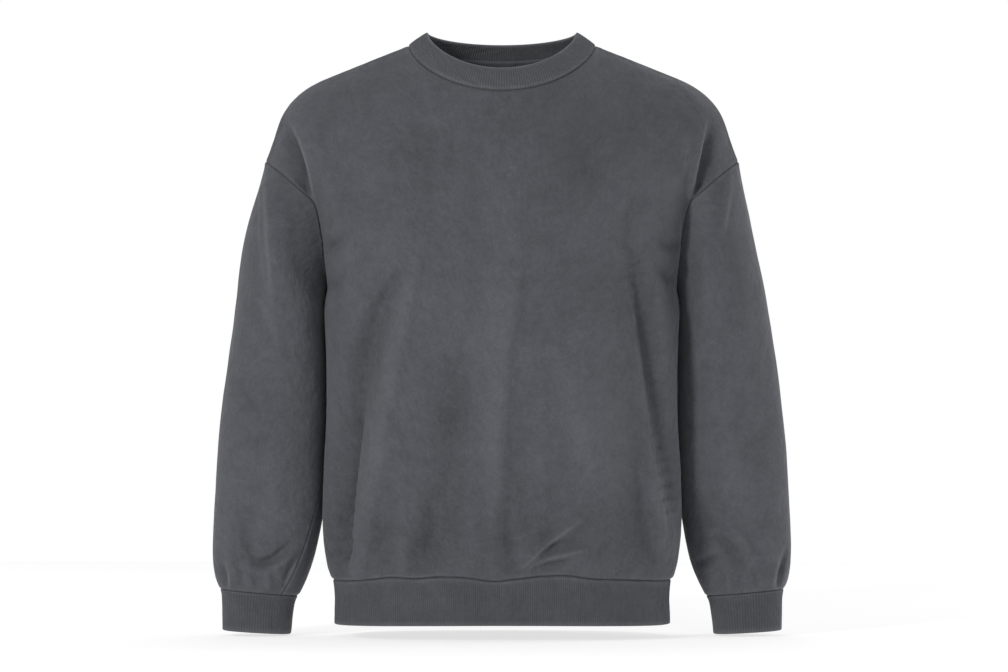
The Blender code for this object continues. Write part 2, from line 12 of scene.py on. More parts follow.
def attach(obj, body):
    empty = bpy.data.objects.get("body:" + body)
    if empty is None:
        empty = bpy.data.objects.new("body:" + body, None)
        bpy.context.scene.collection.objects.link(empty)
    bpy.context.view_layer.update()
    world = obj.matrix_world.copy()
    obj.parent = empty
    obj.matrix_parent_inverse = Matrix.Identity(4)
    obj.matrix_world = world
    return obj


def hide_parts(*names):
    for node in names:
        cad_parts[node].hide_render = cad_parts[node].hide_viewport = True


bl_info = {
    "name": "Crewneck Sweatshirt",
    "version": (1, 0, 0),
    "blender": (4, 5, 0),
    "location": "View3D > Sidebar > Sweatshirt",
    "description": "Builds a garment-dyed crewneck sweatshirt, piece by piece, round its packed frame",
    "category": "Object",
}

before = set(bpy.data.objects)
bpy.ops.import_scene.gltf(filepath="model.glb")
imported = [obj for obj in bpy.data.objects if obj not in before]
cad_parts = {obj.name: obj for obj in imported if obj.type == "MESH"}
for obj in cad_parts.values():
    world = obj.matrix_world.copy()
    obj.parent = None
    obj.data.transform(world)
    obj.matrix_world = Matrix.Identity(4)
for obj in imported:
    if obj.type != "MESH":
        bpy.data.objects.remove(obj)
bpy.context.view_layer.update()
BODY = "root"
MM = 0.001
DOWN = np.array((0.0, 0.0, -1.0))

# ---- sizes of the cut

NECK_MIDDLE = -4.0 * MM
NECK_HALF_WIDTH = 108.0 * MM
NECK_FRONT = 84.0 * MM
NECK_BACK = 70.0 * MM
NECK_DROP_FRONT = 55.5 * MM
NECK_DROP_BACK = 24.5 * MM
NECK_ROUNDNESS = 1.3
BAND_HALF_WIDTH = 85.6 * MM
BAND_FRONT = 73.0 * MM
BAND_BACK = 64.0 * MM
BAND_TOP = 15.5 * MM
BAND_DROP_FRONT = 44.0 * MM
BAND_DROP_BACK = 10.5 * MM
BAND_BULGE = 0.7 * MM
BAND_WALL = 3.4 * MM
CUFF_WALL = 2.8 * MM
HEM_WALL = 2.8 * MM

UNDERARM_HEIGHT = -280.0 * MM
FRONT_ROUNDNESS = 2.75
BACK_ROUNDNESS = 2.35
HEM_SEAM = (-606.0 * MM, -611.5 * MM, -608.0 * MM)      # front, sides, back
HEM_EDGE = (-660.0 * MM, -662.5 * MM, -662.0 * MM)

# Points of the forms that the fine meshes are read from
NECK_STRIPS = 12
SHOULDER_STRIPS = 16
HALF_STRIPS = NECK_STRIPS + SHOULDER_STRIPS
YOKE_ROWS = 20
TRUNK_ROWS = 24
SLEEVE_ROWS = 32
BAND_ROWS = 8
# Points of the smooth lines that those points are spaced along
SEAM_STEPS = 400
RING_STEPS = 800
BAND_STEPS = 1200
TURN_STEPS = 720
FOLD_STEPS = 24
# The cloth below the neck points is drawn smooth: how often, how much each time, how narrowly
# beside the point, and how soon below it.
EASING = (24, 0.5, 1.6, 4.0)
# Where along the top edge the rows below start to be drawn to the armhole, and over how much
# of it.
ARMHOLE_PULL = (0.55, 0.45)
# The same for the crease that turns down between body and sleeve, along the armhole.
CREASE_PULL = (0.5, 0.45)
WAVE_FADE = 0.15               # part of the half width in which the hem seam's waves die away


def table(columns, *rows):
    """Rows given in millimetres, as one array in metres for each named column."""
    values = np.array(rows, dtype=float) * MM
    return {name: values[:, place] for place, name in enumerate(columns.split())}


SHOULDER_SEAM = table(
    "out back height",
    (108, -4, 0), (144, -1, -13.8), (178, 1, -27.6), (201, 2, -36.8), (220, 2, -46.0),
    (233, 2, -55.2), (242.5, 2, -64.4), (249.5, 2, -73.6), (257.5, 1, -91.0), (263, 1, -108.0),
    (272, 0, -133.0),
)
ARMHOLE_FRONT = table(
    "out back height",
    (272, 0, -133), (261, -23, -141), (245, -39, -154), (229, -46, -168), (215.5, -42, -180),
    (208, -34, -206), (204, -26, -240), (201, -13, -266), (200, 5, -280),
)
ARMHOLE_BACK = table(
    "out back height",
    (272, 0, -133), (261, 23, -141), (246, 43, -154), (228, 57, -178), (214, 60, -210),
    (204, 46, -246), (200, 26, -270), (200, 5, -280),
)
YOKE_FRONT = table(
    "out forward down straight",
    (0, 30, 65, 80), (8, 38, 56, 100), (4, 52, 36, 130), (0, 60, 12, 140), (-6, 45, 10, 90),
)
YOKE_BACK = table(
    "out forward down straight",
    (0, 30, 42, 95), (8, 38, 38, 105), (4, 52, 26, 130), (0, 58, 10, 135), (-6, 45, 10, 90),
)
YOKE_PLACES = (0.0, 0.22, 0.43, 0.72, 1.0)
TRUNK = table(
    "down width side front back",
    (0, 200, 5, -130, 108), (18, 202.6, 1, -131, 107), (70, 201, -14, -132, 103),
    (140, 201, -20, -133, 101), (210, 204, -20, -135, 104), (265, 205.5, -20, -136, 110),
    (295, 203, -20, -135, 113), (315, 199, -20, -130, 112), (328, 194, -20, -124.5, 108.5),
)
HEM_RIB = table(
    "down width side front back",
    (0, 193.5, -20, -123.5, 107.5), (6, 192.5, -20, -122, 106.5),
    (50, 191.5, -20, -119.5, 105.5),
)
HEM_SEAM_WAVES = table(
    "out rise",
    (-193, -1), (-155, 0), (-122, 2.5), (-100, 0.5), (-74, 2), (-38, 0.5), (-10, -3.5),
    (16, -1), (45, 2.5), (72, 3.5), (102, 0.5), (144, 0), (193, -1),
)
TUBE_COLUMNS = "inner inner_height outer outer_height middle front back"
SLEEVE = table(
    TUBE_COLUMNS,
    (205.4, -293, 279.5, -172, 5, 64, 68), (203.8, -308, 290.0, -222, 11, 72, 76),
    (202.6, -329, 302.5, -281, 17, 76, 78), (200.8, -358, 313.0, -344, 22, 74, 75),
    (200.6, -402, 320.5, -396, 23, 69, 69), (201.6, -452, 326.5, -450, 22, 63, 62),
    (203.0, -505, 330.5, -504, 19, 56, 56), (209.0, -555, 332.5, -556, 13, 50, 50),
    (216.5, -590, 332.5, -590, 7, 46, 46), (226.0, -616, 329.5, -611, 3, 41, 41),
    (234.5, -632, 324.5, -624, 2, 33, 33),
)
CUFF = table(
    TUBE_COLUMNS,
    (235.0, -632, 324.0, -624, 2, 32.5, 32.5), (238.5, -640, 322.5, -633, 2, 31, 31),
    (241.0, -655, 322.0, -651, 2, 30, 30), (243.0, -676, 321.5, -671.5, 2, 29, 29),
)
# How square each section of the sleeve is: 2 would be an ellipse.
SLEEVE_ROUNDNESS = np.array((2.15, 2.2, 2.35, 2.6, 2.7, 2.7, 2.7, 2.6, 2.5, 2.4, 2.3))
CUFF_ROUNDNESS = np.full(4, 2.3)

# ---- folds
# Each fold runs through three points in the plane of the front or the back. It is raised,
# or sunk where the number is negative. It spreads its own width to the left and to the right
# of its run, so the left of a fold that runs down is the side towards higher x.

FOLD_COLUMNS = "out height mid_out mid_height end_out end_height left right raised"
FRONT_FOLDS = table(
    FOLD_COLUMNS,
    # shoulder-to-armpit folds: a crisp ridge, and the valley outside it
    (-240, -90, -223, -132, -210, -208, 24, 2.2, 2.2),
    (-246, -94, -229, -136, -215.5, -204, 3.2, 11, -8.0),
    (233, -92, 221.5, -146, 209, -210, 2.4, 18, 2.0),
    (238, -92, 227, -146, 214, -206, 9, 3.2, -6.5),
    # wrinkles under the armpits
    (-206, -226, -190, -229, -174, -216, 5, 7, -3.4),
    (-204, -206, -196, -214, -187, -208, 5, 6, 1.6),
    (-208, -232, -201, -232, -194, -229, 2.5, 3, -2.2),
    (-181, -160, -184, -176, -183, -190, 6, 7, -2.2),
    (-195, -196, -197, -212, -193, -230, 5, 6, -2.0),
    (-204, -275, -184, -270, -176, -250, 5, 7, -3.0),
    (-196, -300, -193, -330, -190, -352, 5, 5, -2.4),
    (206, -222, 192, -232, 176, -222, 5, 7, -2.4),
    (205, -262, 190, -268, 172, -250, 6, 8, -2.2),
    (150, -172, 145, -205, 142, -240, 9, 9, -2.6),
    # long fold at the wearer's left: it rises slowly, then drops at once
    (135, -232, 157, -370, 183, -540, 26, 10, 4.2),
    (149, -232, 172, -370, 197, -540, 10, 21, -12.6),
    # long fold at the wearer's right: a deep hollow, and the swell beside it
    (-132, -285, -170, -400, -194, -590, 18, 15, -13.5),
    (-180, -370, -187, -490, -182, -606, 11, 18, -7.4),
    (-92, -226, -120, -368, -162, -600, 12, 16, 4.8),
    (-199, -240, -197, -300, -200, -360, 10, 10, 2.4),
    (-159, -200, -172, -240, -182, -290, 7, 12, 2.2),
    # drag line from the right side up across the stomach
    (-150, -309, -132, -284, -100, -236, 5, 8, -2.8),
    # soft hollows and swells down the middle
    (-46, -340, -50, -430, -60, -570, 12, 22, -5.0),
    (-2, -440, -4, -520, -2, -594, 28, 9, 2.6),
    (18, -236, -1, -400, -3, -592, 12, 20, 4.0),
    (26, -400, 22, -480, 26, -560, 10, 44, -2.6),
    (84, -390, 110, -480, 128, -600, 40, 26, 2.6),
    (136, -400, 153, -490, 163, -604, 15, 34, -4.4),
    (62, -330, 84, -410, 112, -500, 30, 12, 2.6),
    (168, -480, 174, -530, 178, -592, 10, 7, 4.0),
    # hollows and pleats above the hem
    (-141, -525, -140, -562, -136, -604, 14, 15, -4.4),
    (-76, -500, -78, -560, -96, -606, 16, 17, -5.4),
    (6, -520, 6, -550, 14, -600, 8, 14, -4.0),
    (-112, -545, -108, -575, -112, -604, 9, 9, 2.4),
    (-34, -540, -30, -570, -32, -602, 12, 10, 2.6),
    (54, -540, 56, -562, 48, -588, 10, 14, -3.0),
    # short creases
    (-124, -467, -104, -466, -82, -461, 5, 7, -2.2),
    (-102, -472, -82, -472, -62, -470, 4, 6, -1.4),
    (-128, -385, -122, -420, -104, -448, 5, 6, -1.4),
    (25, -592, 54, -567, 88, -540, 4, 5, 2.4),
    (40, -581, 62, -569, 94, -562, 5, 8, -2.6),
    (30, -594, 60, -582, 98, -573, 4, 5, 2.0),
    (40, -594, 58, -590, 84, -586, 4, 6, -2.8),
    (60, -545, 84, -520, 104, -505, 9, 9, 1.8),
    (-188, -596, -180, -582, -174, -560, 5, 6, -2.4),
    (152, -306, 152, -312, 153, -320, 3, 3, 0.9),
    # slight pull from the neckband and across the chest
    (-60, -92, -72, -120, -84, -170, 20, 20, -1.8),
    (74, -84, 92, -120, 104, -176, 20, 20, -2.2),
    (-150, -120, -120, -180, -90, -230, 26, 26, 1.6),
    (120, -130, 90, -190, 70, -240, 28, 28, 1.6),
)
BACK_FOLDS = table(
    FOLD_COLUMNS,
    (-237, -92, -224, -135, -212, -208, 4, 16, 3.0),
    (-246, -96, -235, -138, -222, -203, 12, 5, -4.5),
    (237, -92, 224, -135, 212, -208, 4, 16, 3.0),
    (246, -96, 235, -138, 222, -203, 12, 5, -4.5),
    (-128, -210, -138, -310, -150, -420, 18, 22, -6.0),
    (128, -220, 144, -330, 156, -440, 22, 18, -6.0),
    (-40, -330, -48, -440, -62, -560, 24, 24, 5.0),
    (46, -360, 52, -460, 60, -570, 22, 22, 5.0),
    (4, -430, 4, -500, 0, -580, 22, 22, -5.0),
    (-150, -470, -132, -530, -110, -585, 16, 18, 4.5),
    (150, -480, 136, -540, 118, -590, 18, 16, 4.5),
    (0, -110, 0, -180, 0, -250, 40, 40, -4.0),
    (-196, -232, -172, -240, -150, -228, 6, 8, -2.2),
    (196, -236, 174, -246, 152, -232, 6, 8, -2.2),
    (-192, -282, -168, -296, -140, -290, 6, 9, -2.0),
    (192, -276, 166, -292, 136, -282, 6, 9, -2.0),
    (-168, -330, -140, -352, -96, -356, 9, 12, -2.2),
    (164, -350, 134, -372, 92, -372, 9, 12, -2.2),
    (-92, -560, -66, -552, -40, -560, 6, 8, -2.4),
    (84, -566, 60, -556, 30, -562, 6, 8, -2.4),
    (-20, -590, -24, -570, -26, -540, 8, 8, 1.6),
    (30, -592, 28, -572, 24, -545, 8, 8, 1.6),
    (-86, -60, -96, -110, -100, -160, 16, 16, -1.2),
    (86, -60, 96, -110, 100, -160, 16, 16, -1.2),
)
# Sleeve folds are read on the sleeve's front and on its back, with x as it lies.
LEFT_SLEEVE_FRONT = table(
    FOLD_COLUMNS,
    (262, -146, 259, -178, 254, -216, 12, 3.0, 3.0),
    (277, -236, 277, -300, 276, -376, 7, 7, 1.2),
    (250, -160, 248, -200, 246, -240, 12, 12, -1.4),
    (232, -250, 238, -300, 252, -352, 12, 14, 1.2),
    (223, -366, 231, -369, 241, -375, 4, 5, -1.8),
    (250, -380, 268, -402, 296, -416, 8, 10, -0.9),
    (306, -420, 292, -452, 268, -470, 9, 7, -1.6),
    (262, -440, 262, -490, 264, -530, 16, 18, 2.2),
    (236, -480, 246, -520, 262, -546, 7, 9, -1.8),
    (240, -560, 256, -569, 276, -594, 4, 8, -3.8),
    (252, -552, 270, -560, 286, -586, 6, 6, 2.0),
    (222, -593, 234, -589, 248, -586, 4, 6, -2.8),
    (246, -616, 254, -609, 266, -606, 4, 5, -2.2),
    (226, -538, 244, -546, 262, -557, 5, 8, -2.2),
    (296, -556, 306, -576, 312, -594, 7, 7, 2.2),
    (326, -580, 320, -604, 316, -626, 2.6, 5, -3.0),
    (316, -588, 312, -606, 309, -622, 4, 3, 1.2),
    (290, -600, 292, -610, 294, -622, 3, 4, -1.4),
    (256, -604, 258, -612, 260, -626, 4, 4, 1.2),
    (272, -606, 273, -614, 274, -626, 3, 4, -1.0),
)
RIGHT_SLEEVE_FRONT = table(
    FOLD_COLUMNS,
    (-270, -146, -265, -200, -261, -300, 28, 3.0, 3.0),
    (-238, -180, -230, -230, -222, -290, 24, 20, -2.6),
    (-288, -282, -272, -316, -258, -352, 5, 8, -2.2),
    (-262, -262, -262, -320, -256, -372, 12, 12, 1.8),
    (-300, -380, -290, -402, -276, -424, 6, 8, -1.6),
    (-310, -440, -296, -452, -270, -452, 8, 8, -1.6),
    (-252, -470, -262, -510, -266, -540, 14, 16, 2.0),
    (-300, -480, -288, -500, -262, -510, 8, 8, -1.6),
    (-296, -548, -282, -586, -262, -594, 5, 7, -2.6),
    (-280, -594, -262, -587, -240, -570, 4, 7, -3.4),
    (-272, -598, -254, -594, -234, -578, 5, 6, 2.0),
    (-284, -515, -289, -546, -293, -576, 12, 12, -2.2),
    (-322, -592, -318, -606, -313, -620, 5, 5, -2.6),
    (-247, -618, -243, -604, -238, -592, 4, 5, -2.4),
    (-316, -560, -310, -585, -306, -604, 6, 6, 1.8),
    (-300, -598, -298, -610, -297, -622, 3, 4, -1.8),
    (-312, -600, -312, -612, -312, -622, 3, 3, 1.4),
    (-282, -604, -281, -614, -281, -626, 4, 3, -1.4),
    (-268, -602, -267, -612, -266, -626, 4, 4, 1.4),
)
SLEEVE_BACK = table(
    FOLD_COLUMNS,
    (262, -160, 262, -210, 258, -262, 10, 10, 2.4),
    (236, -262, 262, -300, 292, -322, 7, 10, -3.0),
    (232, -330, 262, -372, 300, -392, 8, 11, -3.4),
    (300, -352, 280, -372, 246, -376, 12, 12, 1.2),
    (226, -400, 252, -424, 292, -436, 8, 10, -3.0),
    (310, -430, 286, -462, 244, -476, 8, 8, -2.4),
    (236, -500, 262, -520, 300, -520, 9, 9, -2.4),
    (240, -560, 262, -580, 296, -578, 6, 8, -2.8),
    (232, -586, 250, -598, 276, -600, 5, 6, -2.0),
    (300, -600, 300, -612, 300, -624, 4, 4, -1.8),
    (262, -602, 262, -612, 262, -626, 4, 4, 1.4),
)

# The hem rib is drawn in unevenly below its seam.
HEM_FOLDS = table(
    FOLD_COLUMNS,
    (-153, -609, -152, -618, -149, -634, 12, 12, -1.8),
    (-93, -610, -94, -620, -97, -640, 13, 11, -2.2),
    (-122, -612, -122, -626, -120, -648, 12, 12, 1.0),
    (-12, -610, -10, -620, -6, -642, 16, 16, -1.8),
    (-50, -612, -48, -628, -44, -652, 16, 16, 1.2),
    (112, -608, 114, -618, 118, -636, 15, 12, -2.2),
    (60, -610, 62, -628, 66, -650, 16, 16, 1.2),
    (160, -610, 160, -622, 158, -644, 11, 11, -1.4),
)

# ---- meshes, cuts and stage

PANEL_ROWS = 224
PANEL_STRIPS = 192
SLEEVE_FINE_ROWS = 200
SLEEVE_STRIPS = 152
# Rows and strips lie closer beside a seam, at the distances below from it. They are placed
# with these rough lengths of the cloth between its seams.
PANEL_LENGTH = 0.62
SLEEVE_LENGTH = 0.47
SLEEVE_GIRTH = 0.3
SEAM_ROWS = np.array((0.0, 0.7, 1.5, 2.4, 3.5, 5.0, 7.0)) * MM
RIB_SEAM_ROWS = np.array((0.0, 0.8, 1.8, 3.0, 5.0)) * MM
RIB_ROWS = 11
RIB_BEND_ROWS = 7
POINTS_PER_RIB = 6
NECKBAND_RIBS = 196
CUFF_RIBS = 72
HEM_RIBS = 200
# The neck tape: where it starts and ends round the neckband, how far up the band it reaches,
# and how far its lower edge hangs below the seam and stands off from it.
TAPE_TURNS = (0.27, 0.73)
TAPE_STRIPS = 180
TAPE_PLACES = np.array((0.36, 0.24, 0.12, 0.04, 0.0))
TAPE_DROP = np.array((3.5, 7.0)) * MM
TAPE_STAND = np.array((0.5, 1.2)) * MM
TAPE_WALL = 0.8 * MM
SEAM_FADE = 7.0 * MM           # folds die away this close to a seam
PUCKER_SIZE = 8.0 * MM
PUCKER_REACH = 10.0 * MM
# Width of the shade painted down a seam groove
GROOVE_SHADE_WIDTH = 0.9 * MM
RIDGE_PLACE = 2.4 * MM         # the rubbed ridge beside a seam: how far from it, and how wide
RIDGE_WIDTH = 1.5 * MM
CREST_WIDTH = 1.5 * MM         # the painted highlight along the crest of a crisp fold
FOLD_REACH = 2.6               # widths of a fold past which it lifts nothing
PAINTED_SHADING_DEPTH = 5.0 * MM           # a hollow this deep gets most of the painted shade that a hollow can
# Where the underarm seam lies down each sleeve: 0 at its outer line, 0.5 at its inner one.
LEFT_SEAM = np.array((0.5, 0.5, 0.49, 0.48, 0.47, 0.46))
RIGHT_SEAM = np.array((0.5, 0.5, 0.49, 0.46, 0.40, 0.344))

# The mottling of the dye: size, how far it is drawn out along the wales, and its strength.
MOTTLING = (
    (90.0 * MM, 1.3, 0.30), (34.0 * MM, 1.2, 0.20), (14.0 * MM, 1.2, 0.26),
    (6.0 * MM, 1.2, 0.28), (2.4 * MM, 1.3, 0.34),
)
# How strongly shade is painted into fold hollows and onto the lower body, and highlight onto swells
PAINTED_SHADING_STRENGTH = 0.17
# The knit's relief. Real wales are 0.9 mm apart, too fine to show at a few steps, so they
# are drawn 1.6 mm apart.
KNIT_RELIEF = ((1.6 * MM, 2.4, 0.22 * MM), (6.0 * MM, 1.3, 0.7 * MM), (15.0 * MM, 1.2, 1.2 * MM))

FLOOR_HEIGHT = -0.678
FLOOR_SIZE = 3.6
FLOOR_GLOW = 0.72
FLOOR_PAPER = 0.40
ROOM_LIGHT = 0.19
CAMERA_PLACE = (0.0023, -5.5, -0.3335)
CAMERA_LENS = 170.8            # on a sensor 36 mm wide
LAMP_TARGET = (0.0, 0.0, -0.3)
# Lamps: name, place, size across and power in watts.
LAMPS = (
    ("key_softbox", (-3.2, -4.35, 1.6), 1.2, 172.0),
    ("front_softbox", (1.3, -5.4, 0.7), 2.2, 58.0),
    ("left_strip", (-2.6, 1.2, 0.2), 1.2, 12.0),
    ("right_strip", (2.9, 0.7, 0.1), 1.4, 46.0),
    ("top_softbox", (0.0, 1.2, 2.6), 1.8, 30.0),
)

# ---- curves and grids


def spline(at, knots, values):
    """The smooth curve that passes through values at knots, read at the places given."""
    at = np.asarray(at, dtype=float)
    knots = np.asarray(knots, dtype=float)
    values = np.asarray(values, dtype=float)
    slopes = np.gradient(values, knots, axis=0)
    first = np.clip(np.searchsorted(knots, at, side="right") - 1, 0, len(knots) - 2)
    step = knots[first + 1] - knots[first]
    part = (at - knots[first]) / step
    for _ in range(values.ndim - 1):
        step = step[..., None]
        part = part[..., None]
    rise = values[first + 1] - values[first]
    return (values[first]
            + part * step * slopes[first]
            + part ** 2 * (3 * rise - step * (2 * slopes[first] + slopes[first + 1]))
            + part ** 3 * (step * (slopes[first] + slopes[first + 1]) - 2 * rise))


def fractions(count):
    """Evenly spaced numbers from 0 to 1."""
    return np.linspace(0.0, 1.0, count)


def columns(rows, *names):
    """Named columns of a table, side by side."""
    return np.stack([rows[name] for name in names], axis=-1)


def unit(vectors):
    """The same directions, one long."""
    return vectors / np.linalg.norm(vectors, axis=-1, keepdims=True).clip(1e-12)


def travel(points, axis=0):
    """How far each point of a line, or of a grid's lines, is from its first point."""
    steps = np.linalg.norm(np.diff(points, axis=axis), axis=-1)
    start = np.zeros_like(np.take(steps, [0], axis=axis))
    return np.concatenate((start, np.cumsum(steps, axis=axis)), axis=axis)


def even(curve, strips):
    """The same line with its points spaced evenly."""
    travelled = travel(curve)
    at = np.linspace(0.0, travelled[-1], strips + 1)
    return np.stack([np.interp(at, travelled, curve[:, axis]) for axis in range(3)], axis=-1)


def smoothstep(value):
    """0 up to 0, 1 from 1 on, and a soft step between them."""
    value = np.clip(value, 0.0, 1.0)
    return value * value * (3.0 - 2.0 * value)


def bell(value):
    """1 at nothing, falling softly away on both sides."""
    return np.exp(-np.square(value))


def through(rows, strips):
    """An even line through a table of points."""
    points = columns(rows, "out", "back", "height")
    length = travel(points)
    return even(spline(fractions(SEAM_STEPS), length / length[-1], points), strips)


def resample(form, down, across):
    """A form's grid read at finer places down and across it, each from 0 to 1."""
    rows = spline(down, fractions(form.shape[0]), form)
    turned = spline(across, fractions(form.shape[1]), rows.transpose(1, 0, 2))
    return turned.transpose(1, 0, 2)


def normals_of(points, closed=False):
    """Outward normals of a grid whose rows run down."""
    if closed:
        across = np.roll(points, -1, axis=1) - np.roll(points, 1, axis=1)
    else:
        across = np.gradient(points, axis=1)
    return unit(np.cross(np.gradient(points, axis=0), across))


def seam_places(count, length):
    """Places from 0 to 1 along a length, even but for close ones beside its sewn ends."""
    low = SEAM_ROWS / length
    high = 1.0 - low[::-1]
    middle = np.linspace(low[-1], high[0], count - 2 * len(low) + 2)[1:-1]
    return np.concatenate((low, middle, high))


def grain(points, scale, seed, stretch=(1.0, 1.0, 1.0)):
    """Smooth noise from about -1 to 1 at each point, its lumps scale metres across."""
    flat = points.reshape(-1, 3) / scale * stretch
    shift = Vector((17.3, 5.1, 9.7)) * seed
    values = [noise.noise(Vector(place) + shift) for place in flat]
    return np.array(values).reshape(points.shape[:-1])


# ---- the garment's form


def neck_seam(front):
    """A quarter of the neck seam, from the centre round to the shoulder seam."""
    turn = np.linspace(0.0, math.pi / 2, SEAM_STEPS)
    reach = -NECK_FRONT if front else NECK_BACK
    drop = NECK_DROP_FRONT if front else NECK_DROP_BACK
    curve = np.stack([
        NECK_HALF_WIDTH * np.sin(turn),
        NECK_MIDDLE + reach * np.cos(turn),
        -drop * np.cos(turn).clip(0.0) ** NECK_ROUNDNESS,
    ], axis=-1)
    return even(curve, NECK_STRIPS)


def top_edge(front):
    """Half of a body panel's top edge: the neck seam and then the shoulder seam."""
    return np.concatenate((neck_seam(front), through(SHOULDER_SEAM, SHOULDER_STRIPS)[1:]))


def quarter_turn(front):
    """A quarter of a level ring, one long each way, in even strips of the underarm ring."""
    turn = np.linspace(0.0, math.pi / 2, RING_STEPS)
    power = 2.0 / (FRONT_ROUNDNESS if front else BACK_ROUNDNESS)
    quarter = np.stack([np.sin(turn) ** power, np.cos(turn).clip(0.0) ** power], axis=-1)
    reach = TRUNK["front" if front else "back"][0] - TRUNK["side"][0]
    sized = np.concatenate((quarter * (TRUNK["width"][0], reach), 0.0 * quarter[:, :1]), axis=1)
    length = travel(sized)
    return spline(np.linspace(0.0, length[-1], HALF_STRIPS + 1), length, quarter)


def mirrored(half):
    """Rows of a whole panel from rows of its half at +X."""
    other = half[:, :0:-1] * (-1.0, 1.0, 1.0)
    return np.concatenate((other, half), axis=1)


def level_ring(rows, front, part):
    """A level ring round half the body, at a part of its table: from one side to the other."""
    drop = rows["down"] / rows["down"][-1]
    names = ("width", "side", "front" if front else "back")
    width, side, middle = spline(part, drop, columns(rows, *names))
    quarter = quarter_turn(front) * (width, middle - side)
    row = np.stack([quarter[:, 0], side + quarter[:, 1], np.zeros(len(quarter))], axis=-1)
    return mirrored(row[None])[0]


def yoke(front):
    """Half a panel from its top edge to the underarm: rows of points, centre to armhole."""
    top = top_edge(front)
    lean = YOKE_FRONT if front else YOKE_BACK
    forward = -1.0 if front else 1.0
    bottom = level_ring(TRUNK, front, 0.0)[HALF_STRIPS:] + (0.0, 0.0, UNDERARM_HEIGHT)
    length = travel(top)
    places = length / length[-1]
    leans = spline(places, YOKE_PLACES, columns(lean, "out", "forward", "down", "straight"))
    leaving = top + leans[:, :3] * (1.0, forward, -1.0)
    reaching = bottom + leans[:, 3:] * (0.0, 0.0, 1.0)
    part = fractions(YOKE_ROWS + 1)[:, None, None]
    rows = ((1 - part) ** 3 * top + 3 * (1 - part) ** 2 * part * leaving
            + 3 * (1 - part) * part ** 2 * reaching + part ** 3 * bottom)
    armhole = through(ARMHOLE_FRONT if front else ARMHOLE_BACK, YOKE_ROWS)
    start, reach = ARMHOLE_PULL
    nearness = smoothstep((places - start) / reach)[None, :, None]
    return rows + nearness * (armhole[:, None, :] - rows[:, -1:, :])


def eased(points):
    """Half a panel with the cloth below the neck point drawn smooth."""
    passes, strength, narrowness, start = EASING
    steps = np.arange(1, len(points) - 1)[:, None] / YOKE_ROWS
    aside = (np.arange(1, HALF_STRIPS) - NECK_STRIPS) / NECK_STRIPS
    weight = strength * bell(narrowness * aside) * np.minimum(1.0, start * steps)
    for _ in range(passes):
        around = (points[1:-1, 2:] + points[1:-1, :-2]) / 2.0
        points[1:-1, 1:-1] += weight[..., None] * (around - points[1:-1, 1:-1])
    return points


def hem_height(out, front, heights, waves):
    """The height of a hem line round the body, with the rise and dip of its seam."""
    front_height, side_height, back_height = heights
    sideways = np.abs(out) / TRUNK["width"][0]
    middle = front_height if front else back_height
    height = middle + (side_height - middle) * np.clip(sideways, 0.0, 1.0) ** 2
    if waves:
        turned = out if front else -out
        ease = smoothstep((1.0 - sideways) / WAVE_FADE)
        height = height + ease * spline(turned, HEM_SEAM_WAVES["out"], HEM_SEAM_WAVES["rise"])
    return height


def trunk(front):
    """A whole panel from the underarm to the hem seam, without its first row."""
    rows = []
    for part in fractions(TRUNK_ROWS + 1)[1:]:
        row = level_ring(TRUNK, front, part)
        seam = hem_height(row[:, 0], front, HEM_SEAM, True)
        row[:, 2] = UNDERARM_HEIGHT + part * (seam - UNDERARM_HEIGHT)
        rows.append(row)
    return np.array(rows)


def panel_form(front):
    """The front or back: rows from its top edge down, columns from one side to the other."""
    points = np.concatenate((mirrored(eased(yoke(front))), trunk(front)))
    return points if front else points[:, ::-1]


def hem_form(front):
    """The front or back length of the hem rib: rows from its seam to its lower edge."""
    rows = []
    for part in fractions(BAND_ROWS + 1):
        row = level_ring(HEM_RIB, front, part)
        seam = hem_height(row[:, 0], front, HEM_SEAM, True)
        edge = hem_height(row[:, 0], front, HEM_EDGE, False)
        row[:, 2] = seam + part * (edge - seam)
        rows.append(row)
    points = np.array(rows)
    return points if front else points[:, ::-1]


def tube_section(values, count):
    """One level section of a sleeve or cuff, from its outer point round the back."""
    inner_out, inner_height, outer_out, outer_height, middle, front, back, roundness = values
    inner = np.array((inner_out, 0.0, inner_height))
    outer = np.array((outer_out, 0.0, outer_height))
    centre = (inner + outer) / 2.0 + np.array((0.0, middle, 0.0))
    half = (outer - inner) / 2.0
    turn = np.linspace(0.0, 2.0 * math.pi, count, endpoint=False)
    power = 2.0 / roundness
    along = np.sign(np.cos(turn)) * np.abs(np.cos(turn)) ** power
    section = centre + along[:, None] * half
    section[:, 1] += np.abs(np.sin(turn)) ** power * np.where(turn < math.pi, back, -front)
    return section


def tube_rows(rows, roundness, parts):
    """Rows of a tube, read from a table of sections at parts of its length."""
    sections = np.column_stack((columns(rows, *TUBE_COLUMNS.split()), roundness))
    read = spline(parts, fractions(len(sections)), sections)
    return np.array([tube_section(values, 2 * YOKE_ROWS) for values in read])


def sleeve_form():
    """The sleeve at +X: rows from the armhole seam to the cuff seam, columns all round."""
    front = through(ARMHOLE_FRONT, YOKE_ROWS)
    back = through(ARMHOLE_BACK, YOKE_ROWS)
    armhole = np.concatenate((back, front[-2:0:-1]))
    sections = tube_rows(SLEEVE, SLEEVE_ROUNDNESS, fractions(len(SLEEVE_ROUNDNESS)))
    knots = np.concatenate((armhole[None], sections))
    length = travel(knots.mean(axis=1))
    return spline(fractions(SLEEVE_ROWS + 1), length / length[-1], knots)


def mirror_tube(points):
    """A closed tube at -X from the one at +X, its columns still turning the same way."""
    other = points * (-1.0, 1.0, 1.0)
    return np.roll(other[:, ::-1], 1, axis=1)


def share(first, second):
    """One normal for each point of a seam, from the normals on its two sides."""
    return unit(first + second)


